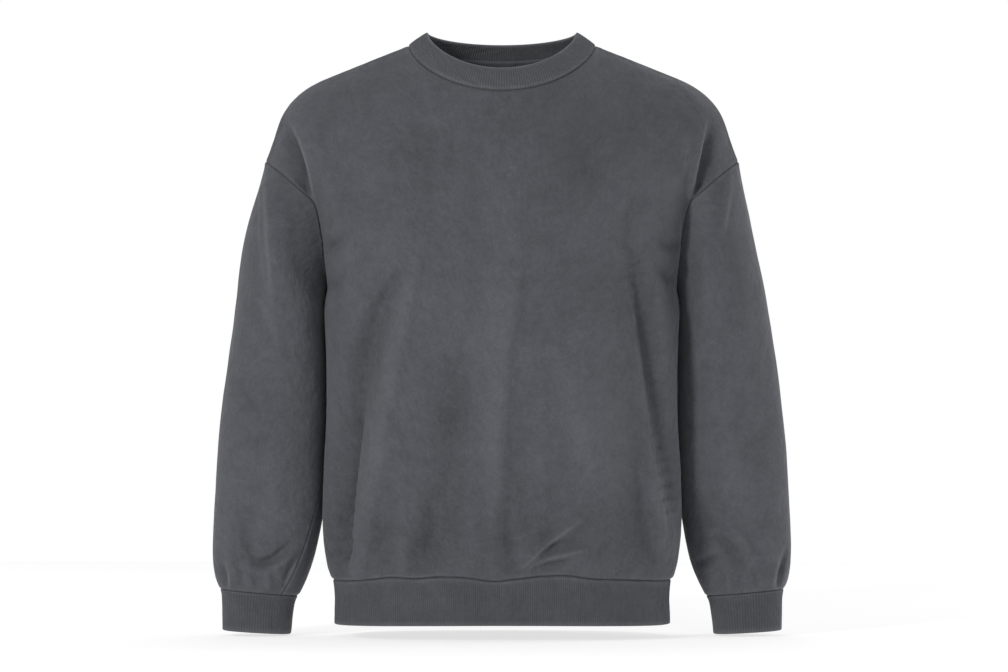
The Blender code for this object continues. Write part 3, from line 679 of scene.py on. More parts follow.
def neckband_form():
    """The neckband's outside: rows from its seam up to its fold, columns all round."""
    front = neck_seam(True)
    back = neck_seam(False)
    right = np.concatenate((front, back[-2::-1]))
    seam = np.concatenate((right, right[-2:0:-1] * (-1.0, 1.0, 1.0)))
    turn = np.linspace(0.0, 2.0 * math.pi, BAND_STEPS, endpoint=False)
    forward = np.cos(turn) > 0.0
    curve = np.stack([
        BAND_HALF_WIDTH * np.sin(turn),
        NECK_MIDDLE - np.where(forward, BAND_FRONT, BAND_BACK) * np.cos(turn),
        BAND_TOP - (np.where(forward, BAND_DROP_FRONT, BAND_DROP_BACK)
                    * np.abs(np.cos(turn)) ** NECK_ROUNDNESS),
    ], axis=-1)
    quarter = BAND_STEPS // 4
    edge = np.concatenate([
        even(curve[np.arange(first, first + quarter + 1) % BAND_STEPS], NECK_STRIPS)[:-1]
        for first in range(0, BAND_STEPS, quarter)])
    facing = unit(np.cross(np.roll(seam, -1, axis=0) - np.roll(seam, 1, axis=0), edge - seam))
    part = fractions(BAND_ROWS + 1)[:, None, None]
    rows = seam + (edge - seam) * part + facing * BAND_BULGE * 4.0 * part * (1.0 - part)
    return np.roll(rows[:, ::-1], 1, axis=1)


@functools.lru_cache(maxsize=1)
def garment_forms():
    """Each piece's form with its normals, shared by the pieces that meet at each seam."""
    front, back, arm = panel_form(True), panel_form(False), sleeve_form()
    wrist = tube_rows(CUFF, CUFF_ROUNDNESS, fractions(BAND_ROWS + 1))
    hem_front, hem_back = hem_form(True), hem_form(False)
    band = neckband_form()
    front_out, back_out, hem_front_out, hem_back_out = (
        normals_of(points) for points in (front, back, hem_front, hem_back))
    arm_out, wrist_out, band_out = (normals_of(points, True) for points in (arm, wrist, band))
    last = front.shape[1] - 1
    for place in range(last + 1):
        if abs(place - HALF_STRIPS) >= NECK_STRIPS:
            joined = share(front_out[0, place], back_out[0, last - place])
            front_out[0, place] = back_out[0, last - place] = joined
    for here, there in ((0, last), (last, 0)):
        joined = share(front_out[YOKE_ROWS:, here], back_out[YOKE_ROWS:, there])
        front_out[YOKE_ROWS:, here] = back_out[YOKE_ROWS:, there] = joined
        joined = share(hem_front_out[:, here], hem_back_out[:, there])
        hem_front_out[:, here] = hem_back_out[:, there] = joined
    for above, below in ((front_out, hem_front_out), (back_out, hem_back_out),
                         (arm_out, wrist_out)):
        above[-1] = below[0] = share(above[-1], below[0])
    start, reach = CREASE_PULL
    for row in range(YOKE_ROWS + 1):
        crease = smoothstep((row / YOKE_ROWS - start) / reach) * DOWN
        for facing, side, column in ((front_out, last, (2 * YOKE_ROWS - row) % (2 * YOKE_ROWS)),
                                     (back_out, 0, row)):
            joined = share(facing[row, side] + crease, arm_out[0, column] + crease)
            facing[row, side] = arm_out[0, column] = joined
    for row in (0, YOKE_ROWS):
        front_out[row, last] = back_out[row, 0] = arm_out[0, row]
    mirror = (-1.0, 1.0, 1.0)
    front_out[:YOKE_ROWS + 1, 0] = front_out[:YOKE_ROWS + 1, last] * mirror
    back_out[:YOKE_ROWS + 1, last] = back_out[:YOKE_ROWS + 1, 0] * mirror
    return {
        "body_front": (front, front_out), "body_back": (back, back_out),
        "hem_rib_front": (hem_front, hem_front_out), "hem_rib_back": (hem_back, hem_back_out),
        "sleeve_left": (arm, arm_out), "cuff_left": (wrist, wrist_out),
        "sleeve_right": (mirror_tube(arm), mirror_tube(arm_out)),
        "cuff_right": (mirror_tube(wrist), mirror_tube(wrist_out)),
        "collar_rib": (band, band_out),
    }


def down_places(form, places):
    """Places by length down a form, as places in its rows."""
    length = travel(form).mean(axis=1)
    return np.interp(places, length / length[-1], fractions(len(length)))


def ring_knots(form):
    """A closed form with a few columns more at both ends, and where its columns lie."""
    count = form.shape[1]
    padded = np.concatenate((form[:, -3:], form, form[:, :3]), axis=1)
    return padded, np.arange(-3, count + 3) / count


def turns_of(ring, start, places):
    """Places by length round a closed row from a starting turn, as turns of its columns."""
    padded, knots = ring_knots(ring[None])
    turns = fractions(TURN_STEPS + 1)
    length = travel(spline(turns, knots, padded[0]))
    wanted = np.interp(start, turns, length) + places * length[-1]
    return np.interp(np.mod(wanted, length[-1]), length, turns)


def read_ring(form, down, turns):
    """A closed form read at finer rows, and at the turns given for each of them."""
    rows = spline(down, fractions(form.shape[0]), form)
    padded, knots = ring_knots(rows)
    return np.array([spline(turn, knots, row) for turn, row in zip(turns, padded)])


# ---- folds and seams


def fold_lift(place, folds):
    """How far a table of folds moves each place seen from the front, and how much painted highlight it
    gets.
    """
    lift, rub_and_highlight = np.zeros(place.shape[:-1]), np.zeros(place.shape[:-1])
    steps = fractions(FOLD_STEPS + 1)
    for fold in zip(*(folds[name] for name in FOLD_COLUMNS.split())):
        left, right, raised = fold[6:]
        line = spline(steps, (0.0, 0.5, 1.0), np.array(fold[:6]).reshape(3, 2))
        reach = FOLD_REACH * max(left, right)
        low, high = line.min(axis=0) - reach, line.max(axis=0) + reach
        near = np.all((place > low) & (place < high), axis=-1)
        spots = place[near]
        away = np.linalg.norm(spots[:, None] - line[None], axis=-1)
        nearest = away.argmin(axis=1)
        run = unit(np.gradient(line, axis=0))[nearest]
        gap = spots - line[nearest]
        side = run[:, 0] * gap[:, 1] - run[:, 1] * gap[:, 0]
        beyond = (run * gap).sum(axis=-1)
        ends = (nearest == 0) | (nearest == len(line) - 1)
        distance = np.hypot(side, np.where(ends, beyond, 0.0))
        width = left + (right - left) * smoothstep(0.5 - side / (left + right))
        # A fold rises from nothing at one end of its run and dies away at the other.
        taper = np.sin(math.pi * np.clip(steps[nearest], 0.03, 0.97)) ** 0.55
        lift[near] += raised * taper * bell(distance / width)
        # A crisp ridge, which is high for its width, gets a painted highlight along its crest.
        crisp = min(max(raised, 0.0) * 6.0 * MM / min(left, right) ** 2, 1.0) ** 2
        rub_and_highlight[near] += 0.9 * crisp * taper * bell(distance / CREST_WIDTH)
    return lift, rub_and_highlight


def mirrored_folds(folds):
    """A table of folds for the other side of the garment."""
    other = {name: -folds[name] for name in ("out", "mid_out", "end_out")}
    return {**folds, **other, "left": folds["right"], "right": folds["left"]}


class Finish:
    """A grid's points, how far each is moved, where it is worn or has painted highlight, and where
    shade is painted into its seams and hollows.
    """

    def __init__(self, points, normals, seed):
        self.points = points
        self.normals = unit(normals)
        self.ripple = grain(points, PUCKER_SIZE, seed)
        self.lift = np.zeros(points.shape[:2])
        self.wear_and_highlight = np.zeros(points.shape[:2])
        self.groove_shade = np.zeros(points.shape[:2])
        self.painted_shading = np.zeros(points.shape[:2])
        self.inside = np.full(points.shape[:2], 1.0)

    def seam(self, distance, depth, width=1.0 * MM, pucker=0.25 * MM, worn=0.3):
        """Draws the cloth in at a sewn edge, paints shade down its groove, puckers it and wears the
        ridge beside it.
        """
        near = bell(distance / width)
        self.inside = np.minimum(self.inside, smoothstep(distance / SEAM_FADE))
        self.lift += depth * (0.25 * bell((distance - 3.2 * width) / (1.8 * width)) - near)
        self.lift += pucker * self.ripple * np.exp(-distance / PUCKER_REACH) * (1.0 - near)
        # Painted shade: the groove is marked to be painted dark.
        self.groove_shade = np.maximum(self.groove_shade, bell(distance / GROOVE_SHADE_WIDTH))
        ridge = bell((distance - RIDGE_PLACE) / RIDGE_WIDTH) * worn
        self.wear_and_highlight = np.maximum(self.wear_and_highlight, ridge * (0.7 + 0.6 * self.ripple))

    def fold(self, folds, facing, strength):
        """Adds a table of folds to the side that faces forward, -1, or back, 1."""
        # The folds die away where the cloth turns to the side.
        turned = smoothstep((self.normals[..., 1] * facing - 0.02) / 0.45)
        lift, rub_and_highlight = fold_lift(self.points[..., (0, 2)], folds)
        self.lift += strength * lift * turned * self.inside
        # Painted shade and highlight: hollows are painted darker and swells lighter.
        self.painted_shading += np.tanh(-lift / PAINTED_SHADING_DEPTH) * turned * self.inside
        # Painted highlight along the crests of crisp folds, kept with the wear.
        self.wear_and_highlight = np.maximum(self.wear_and_highlight, rub_and_highlight * turned * self.inside)

    def settle(self, amount, seed):
        """Lets the cloth lie a little unevenly all over."""
        broad = grain(self.points, 46.0 * MM, seed, (1.0, 1.0, 0.6))
        small = grain(self.points, 17.0 * MM, seed + 1.0, (1.0, 1.0, 0.7))
        self.lift += amount * (broad + 0.3 * small) * self.inside

    def moved(self):
        """The points, moved out or in along their normals."""
        return self.points + self.normals * self.lift[..., None]


def edge_distances(points):
    """How far each point of a grid is from its top, its bottom, its start and its end."""
    down, across = travel(points, 0), travel(points, 1)
    return down, down[-1:] - down, across, across[:, -1:] - across


# ---- meshes


def select_only(piece):
    """Selects one piece and makes it active."""
    bpy.ops.object.select_all(action="DESELECT")
    piece.select_set(True)
    bpy.context.view_layer.objects.active = piece


def lay(name, points, flat, attributes):
    """A grid primitive laid on its form, with its UV map as the cloth was cut, in metres."""
    rows, strips = points.shape[:2]
    bpy.ops.object.select_all(action="DESELECT")
    bpy.ops.mesh.primitive_grid_add(
        x_subdivisions=strips - 1, y_subdivisions=rows - 1, size=1.0, calc_uvs=True)
    piece = bpy.context.object
    mesh = piece.data
    piece.name = mesh.name = name
    # The primitive's rows start at its lower left corner, so each grid is laid from its foot.
    mesh.vertices.foreach_set("co", points[::-1].reshape(-1))
    corners = np.zeros(len(mesh.loops), dtype=np.int32)
    mesh.loops.foreach_get("vertex_index", corners)
    cut = flat[::-1].reshape(-1, 2)
    mesh.uv_layers.active.data.foreach_set("uv", cut[corners].reshape(-1))
    for label, values in attributes.items():
        layer = mesh.attributes.new(label, "FLOAT", "POINT")
        layer.data.foreach_set("value", values[::-1].reshape(-1).astype(np.float32))
    mesh.update()
    return piece


def weld(piece):
    """Merges the points that lie on each other where a tube's edges meet."""
    select_only(piece)
    bpy.ops.object.mode_set(mode="EDIT")
    bpy.ops.mesh.select_all(action="SELECT")
    bpy.ops.mesh.remove_doubles(threshold=0.02 * MM)
    bpy.ops.mesh.normals_make_consistent(inside=False)
    bpy.ops.object.mode_set(mode="OBJECT")


def finish_piece(piece, material, node):
    """Gives a piece its material, smooths it, attaches it to its body and hides the form part it
    replaces.
    """
    piece.data.materials.append(material)
    select_only(piece)
    bpy.ops.object.shade_smooth()
    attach(piece, BODY)
    if node:
        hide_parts(node)


def cloth_piece(name, finish, flat, wall, closed=False):
    """A thin wall of cloth from a finished grid; a closed one has its long edges joined."""
    attributes = {"wear_and_highlight": finish.wear_and_highlight, "groove_shade": finish.groove_shade, "painted_shading": finish.painted_shading}
    piece = lay(name, finish.moved(), flat, attributes)
    if closed:
        weld(piece)
    wall_of = piece.modifiers.new("Wall", "SOLIDIFY")
    wall_of.thickness = wall
    wall_of.offset = -1.0
    select_only(piece)
    bpy.ops.object.modifier_apply(modifier=wall_of.name)
    return piece


def rib_piece(name, node, wall, ribs, relief, seed, closed=True, start=0.0, sink=1.3 * MM,
              uneven=0.5 * MM, drift=1.0, folds=None, dyed_and_shaded=1.0, rub_and_highlight=0.0, edge=1.0):
    """A folded band of rib: from its seam down its outside, round the fold and up its inside.

    The band is sunk at its seam, lies a little uneven, and its ribs drift from their lines.
    It has shade painted between the ribs and down its seam, and is rubbed pale all over and, more,
    along its edge.
    """
    rows, normals = garment_forms()[node]
    height = travel(rows).mean(axis=1)[-1]
    radius = wall / 2.0
    fold_from = 1.0 - radius / height
    close = RIB_SEAM_ROWS / height
    parts = np.concatenate((close[:-1], np.linspace(close[-1], fold_from, RIB_ROWS)))
    bend = np.linspace(0.0, math.pi, RIB_BEND_ROWS + 2)[1:-1]
    places = np.concatenate((parts, fold_from + radius / height * np.sin(bend), parts[::-1]))
    offsets = np.concatenate((
        np.zeros(len(parts)), radius * (np.cos(bend) - 1.0), np.full(len(parts), -wall)))
    outward = np.concatenate((np.ones(len(parts)), np.cos(bend), -np.ones(len(parts))))[:, None]
    count = ribs * POINTS_PER_RIB + 1
    middle = rows[len(rows) // 2]
    if closed:
        turns = np.broadcast_to(turns_of(middle, start, fractions(count)), (len(places), count))
        points = read_ring(rows, places, turns)
        facing = unit(read_ring(normals, places, turns))
    else:
        length = travel(middle)
        turns = np.interp(fractions(count), length / length[-1], fractions(len(length)))
        points = resample(rows, places, turns)
        facing = unit(resample(normals, places, turns))
    below = places[:, None] * height
    around = travel(points, 1)

    # The ribs and the seam, and how unevenly the band lies
    seam = bell(below / (1.4 * MM)) * (outward > 0.0)
    rib = np.arange(count)[None, :] / POINTS_PER_RIB
    strayed = 0.12 * grain(points, 30.0 * MM, seed + 3.0) * drift
    raised = np.abs(np.sin(math.pi * (rib + strayed))) ** 0.8 - 0.55
    lift = offsets[:, None] + relief * raised * outward * (1.0 - seam) - sink * seam
    settle = grain(points, 34.0 * MM, seed) + 0.4 * grain(points, 12.0 * MM, seed + 1.0)
    lift = lift + uneven * settle * smoothstep(below / (12.0 * MM))
    if folds:
        lift = lift + fold_lift(points[..., (0, 2)], folds)[0] * outward

    # Where it is rubbed: along the fold, beside the seam and all over its outside
    worn = bell((places[:, None] - 1.0) * height / (1.8 * MM)) * (0.85 + 0.5 * settle) * edge
    beside = 0.6 * bell((below - 3.0 * MM) / (1.6 * MM)) * (0.7 + 0.6 * settle)
    worn = np.maximum(worn, beside) + rub_and_highlight * (outward > 0.0)
    if not closed:
        side = np.minimum(around, around[:, -1:] - around)
        pinch = bell(side / (1.2 * MM))
        worn = np.maximum(worn, (0.8 + settle) * bell((side - 5.0 * MM) / (1.8 * MM)))
        lift = lift * (1.0 - pinch) - (radius + 0.3 * MM) * pinch
        seam = np.maximum(seam, pinch)
    # Painted shade between the ribs, away from the seam.
    rib_valley_shade = dyed_and_shaded * np.clip(0.45 - raised, 0.0, 1.0) * (1.0 - seam)

    profile = points + facing * lift[..., None]
    if closed:
        profile[:, -1] = profile[:, 0]
    flat = np.stack([around, np.broadcast_to(below, around.shape)], axis=-1)
    # The seam's mask is painted with shade as a groove.
    attributes = {"wear_and_highlight": worn, "groove_shade": np.broadcast_to(seam, worn.shape), "rib_valley_shade": rib_valley_shade}
    # The first row comes again at the end, so that the outside and the inside meet at the seam.
    attributes = {label: np.concatenate((values, values[:1]))
                  for label, values in attributes.items()}
    piece = lay(name, np.concatenate((profile, profile[:1])), np.concatenate((flat, flat[:1])),
                attributes)
    weld(piece)
    return piece


# ---- materials


def linear(colour):
    """An sRGB hex colour as linear red, green and blue."""
    parts = [int(colour[k:k + 2], 16) / 255.0 for k in (1, 3, 5)]
    return [part / 12.92 if part <= 0.04045 else ((part + 0.055) / 1.055) ** 2.4
            for part in parts]


def add_node(tree, kind, inputs, **settings):
    """Adds one node with its settings; each input takes a value or another node's socket."""
    made = tree.nodes.new(kind)
    for label, value in settings.items():
        setattr(made, label, value)
    for socket, value in inputs.items():
        if isinstance(value, bpy.types.NodeSocket):
            tree.links.new(value, made.inputs[socket])
        else:
            made.inputs[socket].default_value = value
    return made


def cleared_tree(owner):
    """The node tree of a material or a world, with nothing in it yet."""
    owner.use_nodes = True
    owner.node_tree.nodes.clear()
    return owner.node_tree


def knit_spots(tree, place, size, drawn, detail):
    """Noise with lumps of a size in metres, drawn out along the wales."""
    lain = add_node(tree, "ShaderNodeMapping", {
        "Vector": place, "Scale": (1.0 / size, 1.0 / (size * drawn), 1.0)})
    spots = add_node(tree, "ShaderNodeTexNoise", {
        "Vector": lain.outputs["Vector"], "Scale": 1.0, "Detail": detail})
    return spots.outputs["Fac"]


def cloth_material(name, colour, ribbed=False):
    """Garment-dyed cotton: dull, a little mottled, paler where worn, with painted shade and highlight.
    """
    material = bpy.data.materials.get(name)
    if material:
        return material
    looks = bpy.context.scene.sweatshirt_colours
    material = bpy.data.materials.new(name)
    tree = cleared_tree(material)
    place = add_node(tree, "ShaderNodeUVMap", {}, uv_map="UVMap").outputs["UV"]
    tone = 1.0
    for size, drawn, amount in MOTTLING:
        scaled = add_node(tree, "ShaderNodeMath", {
            0: knit_spots(tree, place, size, drawn, 1.0), 1: amount, 2: -amount / 2.0},
            operation="MULTIPLY_ADD")
        tone = add_node(tree, "ShaderNodeMath", {
            0: scaled.outputs["Value"], 1: tone}, operation="ADD").outputs["Value"]
    # Painted shade and highlight: hollows are painted darker and swells lighter, and the lower body
    # darker.
    shading_told = add_node(tree, "ShaderNodeAttribute", {}, attribute_name="painted_shading").outputs["Fac"]
    tone = add_node(tree, "ShaderNodeMath", {0: shading_told, 1: -PAINTED_SHADING_STRENGTH, 2: tone},
                    operation="MULTIPLY_ADD").outputs["Value"]
    dyed_and_shaded = add_node(tree, "ShaderNodeVectorMath", {
        0: tuple(colour), "Scale": tone}, operation="SCALE").outputs["Vector"]
    # Wear and painted highlight lighten the cloth; painted shade darkens its seam grooves.
    layers = [("wear_and_highlight", looks.worn, 0.62), ("groove_shade", looks.groove_shade, 0.6)]
    if ribbed:
        # Painted shade between the ribs.
        layers.append(("rib_valley_shade", looks.groove_shade, 0.5))
    for label, paint, share_of in layers:
        told = add_node(tree, "ShaderNodeAttribute", {}, attribute_name=label)
        part = add_node(tree, "ShaderNodeMath", {
            0: told.outputs["Fac"], 1: share_of}, operation="MULTIPLY", use_clamp=True)
        dyed_and_shaded = add_node(tree, "ShaderNodeMix", {
            "Factor": part.outputs["Value"], "A": dyed_and_shaded, "B": (*paint, 1.0)},
            data_type="RGBA").outputs["Result"]
    relief = None
    for size, drawn, amount in KNIT_RELIEF:
        bump = {"Height": knit_spots(tree, place, size, drawn, 0.0), "Distance": amount,
                "Strength": 1.0}
        if relief:
            bump["Normal"] = relief
        relief = add_node(tree, "ShaderNodeBump", bump).outputs["Normal"]
    shader = add_node(tree, "ShaderNodeBsdfPrincipled", {
        "Base Color": dyed_and_shaded, "Normal": relief, "Roughness": 0.92, "IOR": 1.45,
        "Specular IOR Level": 0.25, "Sheen Weight": 0.18, "Sheen Roughness": 0.45,
        "Sheen Tint": (0.75, 0.77, 0.82, 1.0)})
    add_node(tree, "ShaderNodeOutputMaterial", {"Surface": shader.outputs["BSDF"]})
    return material


def jersey():
    """Brushed-back cotton jersey: its fine wales run down each piece as it was cut."""
    colour = bpy.context.scene.sweatshirt_colours.jersey
    return cloth_material("garment_dyed_cotton_jersey", colour)


def rib_knit():
    """Cotton rib from the same dye bath: closer and a shade darker than the jersey."""
    colour = bpy.context.scene.sweatshirt_colours.rib
    return cloth_material("garment_dyed_cotton_rib", colour, ribbed=True)


def tape_cotton():
    """Plain woven cotton tape from the same dye bath: smooth and dull."""
    colour = bpy.context.scene.sweatshirt_colours.tape
    return cloth_material("garment_dyed_cotton_tape", colour)


# ---- the pieces


def make_panel(front):
    """The front or the back of the body, with its folds and its sewn edges."""
    sizes = bpy.context.scene.sweatshirt_sizes
    side = "front" if front else "back"
    form, facing = garment_forms()["body_" + side]
    down = down_places(form, seam_places(PANEL_ROWS, PANEL_LENGTH))
    middle = travel(form[YOKE_ROWS])
    across = np.interp(seam_places(PANEL_STRIPS, middle[-1]), middle / middle[-1],
                       fractions(len(middle)))
    points = resample(form, down, across)
    finish = Finish(points, resample(facing, down, across), 1.0 if front else 2.0)
    top, bottom, start, end = edge_distances(points)
    finish.seam(top, sizes.seam_depth, worn=0.0)
    finish.seam(start, sizes.seam_depth)
    finish.seam(end, sizes.seam_depth)
    finish.seam(bottom, 1.5 * sizes.seam_depth, 1.4 * MM, 0.8 * MM)
    finish.fold(FRONT_FOLDS if front else BACK_FOLDS, -1.0 if front else 1.0, sizes.folds)
    finish.settle(sizes.unevenness, 3.0 if front else 5.0)
    # The sides stand out a little just under the arms, where they touch the sleeves, and the
    # front is filled out a little at that height, where its form bends.
    height = points[..., 2] - UNDERARM_HEIGHT
    close = bell((height + 18.0 * MM) / (13.0 * MM))
    finish.lift += 1.3 * MM * close * bell(np.minimum(start, end) / (30.0 * MM))
    if front:
        finish.lift += 0.45 * MM * bell(height / (11.0 * MM)) * finish.inside
    # Painted shade: the lower body is painted darker towards the hem.
    finish.painted_shading += 0.85 * bell((bottom - 34.0 * MM) / (64.0 * MM))
    # The cloth's wales run straight down the upper panel and follow the body's sides below.
    out = (start - end) / 2.0
    lie = smoothstep(1.0 - (points[..., 2] / UNDERARM_HEIGHT).clip(0.0, 1.0))
    straight = points[..., 0] if front else -points[..., 0]
    flat = np.stack([0.5 + out + (straight - out) * lie, 0.98 - top + points[:1, :, 2]], axis=-1)
    piece = cloth_piece("jersey_" + side, finish, flat, sizes.wall)
    finish_piece(piece, jersey(), "body_" + side)


def make_sleeve(left):
    """One sleeve, its underarm seam drifting forward or back towards the cuff."""
    sizes = bpy.context.scene.sweatshirt_sizes
    side = "left" if left else "right"
    form, facing = garment_forms()["sleeve_" + side]
    down = down_places(form, seam_places(SLEEVE_FINE_ROWS, SLEEVE_LENGTH))
    places = seam_places(SLEEVE_STRIPS, SLEEVE_GIRTH)
    seam_at = LEFT_SEAM if left else RIGHT_SEAM
    starts = spline(down, fractions(len(seam_at)), seam_at)
    rows = spline(down, fractions(form.shape[0]), form)
    turns = [turns_of(row, start, places) for row, start in zip(rows, starts)]
    points = read_ring(form, down, turns)
    points[:, -1] = points[:, 0]
    finish = Finish(points, read_ring(facing, down, turns), 3.0 if left else 4.0)
    top, bottom, start, end = edge_distances(points)
    finish.seam(top, sizes.seam_depth)
    finish.seam(bottom, 1.2 * sizes.seam_depth, 1.8 * MM, 0.6 * MM)
    finish.seam(np.minimum(start, end), 0.6 * sizes.seam_depth, 1.2 * MM, 0.25 * MM, 0.7)
    finish.fold(LEFT_SLEEVE_FRONT if left else RIGHT_SLEEVE_FRONT, -1.0, sizes.folds)
    finish.fold(SLEEVE_BACK if left else mirrored_folds(SLEEVE_BACK), 1.0, sizes.folds)
    finish.settle(sizes.unevenness, 7.0 if left else 9.0)
    # Painted shade: the sleeve is painted darker above the cuff.
    finish.painted_shading += 0.35 * bell((bottom - 20.0 * MM) / (80.0 * MM))
    # The inner side closes up to the body just under the arm, and the right sleeve is fuller
    # outside, a little above that.
    outward = finish.normals[..., 0] * (1.0 if left else -1.0)
    height = points[..., 2] - UNDERARM_HEIGHT
    close = bell((height + 16.0 * MM) / (13.0 * MM)) * smoothstep(top / (4.0 * MM))
    finish.lift += 2.0 * MM * smoothstep(-outward) * close
    if not left:
        full = bell((height - 56.0 * MM) / (56.0 * MM)) * smoothstep(top / (24.0 * MM))
        finish.lift += 6.5 * MM * smoothstep(outward * 1.3) * full
    for values in (finish.lift, finish.wear_and_highlight, finish.groove_shade, finish.normals):
        values[:, -1] = values[:, 0]
    flat = np.stack([0.5 + (start - end) / 2.0, 0.2 + bottom], axis=-1)
    piece = cloth_piece("jersey_sleeve_" + side, finish, flat, sizes.wall, closed=True)
    finish_piece(piece, jersey(), "sleeve_" + side)


def make_neckband():
    """The rib folded round the neck, with the ribs standing on both of its faces."""
    piece = rib_piece("rib_neckband", "collar_rib", BAND_WALL, NECKBAND_RIBS,
                      bpy.context.scene.sweatshirt_sizes.neck_rib_height, 11.0, start=0.5,
                      uneven=0.25 * MM, drift=0.6, dyed_and_shaded=0.55, rub_and_highlight=0.44, edge=1.5)
    finish_piece(piece, rib_knit(), "collar_rib")


def make_neck_tape():
    """The tape sewn over the back neck seam inside, from shoulder seam to shoulder seam."""
    rows, facing = garment_forms()["collar_rib"]
    turns = np.broadcast_to(np.linspace(*TAPE_TURNS, TAPE_STRIPS), (len(TAPE_PLACES), TAPE_STRIPS))
    out = unit(read_ring(facing, TAPE_PLACES, turns))
    above = read_ring(rows, TAPE_PLACES, turns) - out * (BAND_WALL + 0.9 * MM)
    drop = above[-1:] + DOWN * TAPE_DROP[:, None, None] + out[-1:] * TAPE_STAND[:, None, None]
    points = np.concatenate((above, drop))
    down = travel(points, 0)
    finish = Finish(points, -np.concatenate((out, out[-1:], out[-1:])), 6.0)
    finish.wear_and_highlight = bell((down - 1.0 * MM) / (1.4 * MM)) * 1.2
    finish.lift += 0.25 * MM * finish.ripple
    flat = np.stack([travel(points, 1) + 0.2, 0.5 - down], axis=-1)
    piece = cloth_piece("neck_tape", finish, flat, TAPE_WALL)
    finish_piece(piece, tape_cotton(), "")


def make_cuff(left):
    """One cuff: rib folded at its open edge and drawn into the sleeve."""
    side = "left" if left else "right"
    piece = rib_piece("rib_cuff_" + side, "cuff_" + side, CUFF_WALL, CUFF_RIBS,
                      bpy.context.scene.sweatshirt_sizes.rib_height, 13.0 if left else 15.0,
                      start=(LEFT_SEAM if left else RIGHT_SEAM)[-1], sink=1.6 * MM)
    finish_piece(piece, rib_knit(), "cuff_" + side)


def make_hem(front):
    """One length of the hem rib, folded at its lower edge and sewn at the side seams."""
    side = "front" if front else "back"
    piece = rib_piece("rib_hem_" + side, "hem_rib_" + side, HEM_WALL, HEM_RIBS,
                      bpy.context.scene.sweatshirt_sizes.rib_height, 17.0 if front else 19.0,
                      closed=False, sink=1.5 * MM, uneven=0.9 * MM, folds=HEM_FOLDS)
    finish_piece(piece, rib_knit(), "hem_rib_" + side)


# ---- the stage


def linked(name, data, place):
    """A lamp or camera put into the scene at a place."""
    made = bpy.data.objects.new(name, data)
    bpy.context.scene.collection.objects.link(made)
    made.location = place
    return made


def make_stage():
    """A white floor, soft light and a level camera a few steps in front."""
    scene = bpy.context.scene
    bpy.ops.object.select_all(action="DESELECT")
    bpy.ops.mesh.primitive_plane_add(size=FLOOR_SIZE, location=(0.0, 0.0, FLOOR_HEIGHT))
    floor = bpy.context.object
    floor.name = "studio_floor"
    bpy.ops.object.transform_apply(location=True, rotation=False, scale=False)
    # Matt white paper that glows, so that only soft shadows show on it
    paper = bpy.data.materials.new("white_studio_paper")
    tree = cleared_tree(paper)
    glow = add_node(tree, "ShaderNodeEmission", {"Color": (1, 1, 1, 1), "Strength": FLOOR_GLOW})
    matt = add_node(tree, "ShaderNodeBsdfDiffuse", {"Color": (*[FLOOR_PAPER] * 3, 1)})
    both = add_node(tree, "ShaderNodeAddShader", {
        0: glow.outputs["Emission"], 1: matt.outputs["BSDF"]})
    add_node(tree, "ShaderNodeOutputMaterial", {"Surface": both.outputs["Shader"]})
    floor.data.materials.append(paper)

    # The room is white to the eye and dimmer as a light.
    scene.world = bpy.data.worlds.new("white_room")
    tree = cleared_tree(scene.world)
    seen = add_node(tree, "ShaderNodeLightPath", {}).outputs["Is Camera Ray"]
    strength = add_node(tree, "ShaderNodeMapRange", {
        "Value": seen, "To Min": ROOM_LIGHT, "To Max": 1.0})
    room = add_node(tree, "ShaderNodeBackground", {
        "Color": (1, 1, 1, 1), "Strength": strength.outputs["Result"]})
    add_node(tree, "ShaderNodeOutputWorld", {"Surface": room.outputs["Background"]})
    scene.view_settings.view_transform = "Standard"

    for name, place, size, power in LAMPS:
        light = bpy.data.lights.new(name, "AREA")
        light.shape = "DISK"
        light.size = size
        light.energy = power
        lamp = linked(name, light, place)
        towards = Vector(LAMP_TARGET) - Vector(place)
        lamp.rotation_euler = towards.to_track_quat("-Z", "Y").to_euler()

    lens = bpy.data.cameras.new("studio_camera")
    lens.sensor_width = 36.0
    lens.lens = CAMERA_LENS
    lens.clip_end = 200.0
    scene.camera = linked("studio_camera", lens, CAMERA_PLACE)
    scene.camera.rotation_euler = (math.pi / 2, 0.0, 0.0)


# ---- the add-on


class SweatshirtSizes(bpy.types.PropertyGroup):
    """Sizes of the cloth, its seams, its ribs and its folds."""

    wall: FloatProperty(
        name="Jersey thickness", description="Thickness of the jersey as it shows at an edge",
        default=1.6 * MM, min=0.5 * MM, max=4.0 * MM, subtype="DISTANCE", unit="LENGTH")
    seam_depth: FloatProperty(
        name="Seam depth", description="How far the cloth is drawn in at a seam",
        default=0.8 * MM, min=0.0, max=5.0 * MM, subtype="DISTANCE", unit="LENGTH")
    neck_rib_height: FloatProperty(
        name="Neckband rib height", description="Height of the ribs of the neckband",
        default=0.85 * MM, min=0.0, max=2.0 * MM, subtype="DISTANCE", unit="LENGTH")
    rib_height: FloatProperty(
        name="Cuff and hem rib height", description="Height of the ribs of cuffs and hem",
        default=0.35 * MM, min=0.0, max=2.0 * MM, subtype="DISTANCE", unit="LENGTH")
    unevenness: FloatProperty(
        name="Unevenness", description="How far the cloth strays from its form all over",
        default=1.0 * MM, min=0.0, max=5.0 * MM, subtype="DISTANCE", unit="LENGTH")
    folds: FloatProperty(
        name="Folds", description="Strength of the folds placed by hand",
        default=1.75, min=0.0, max=3.0, subtype="FACTOR")


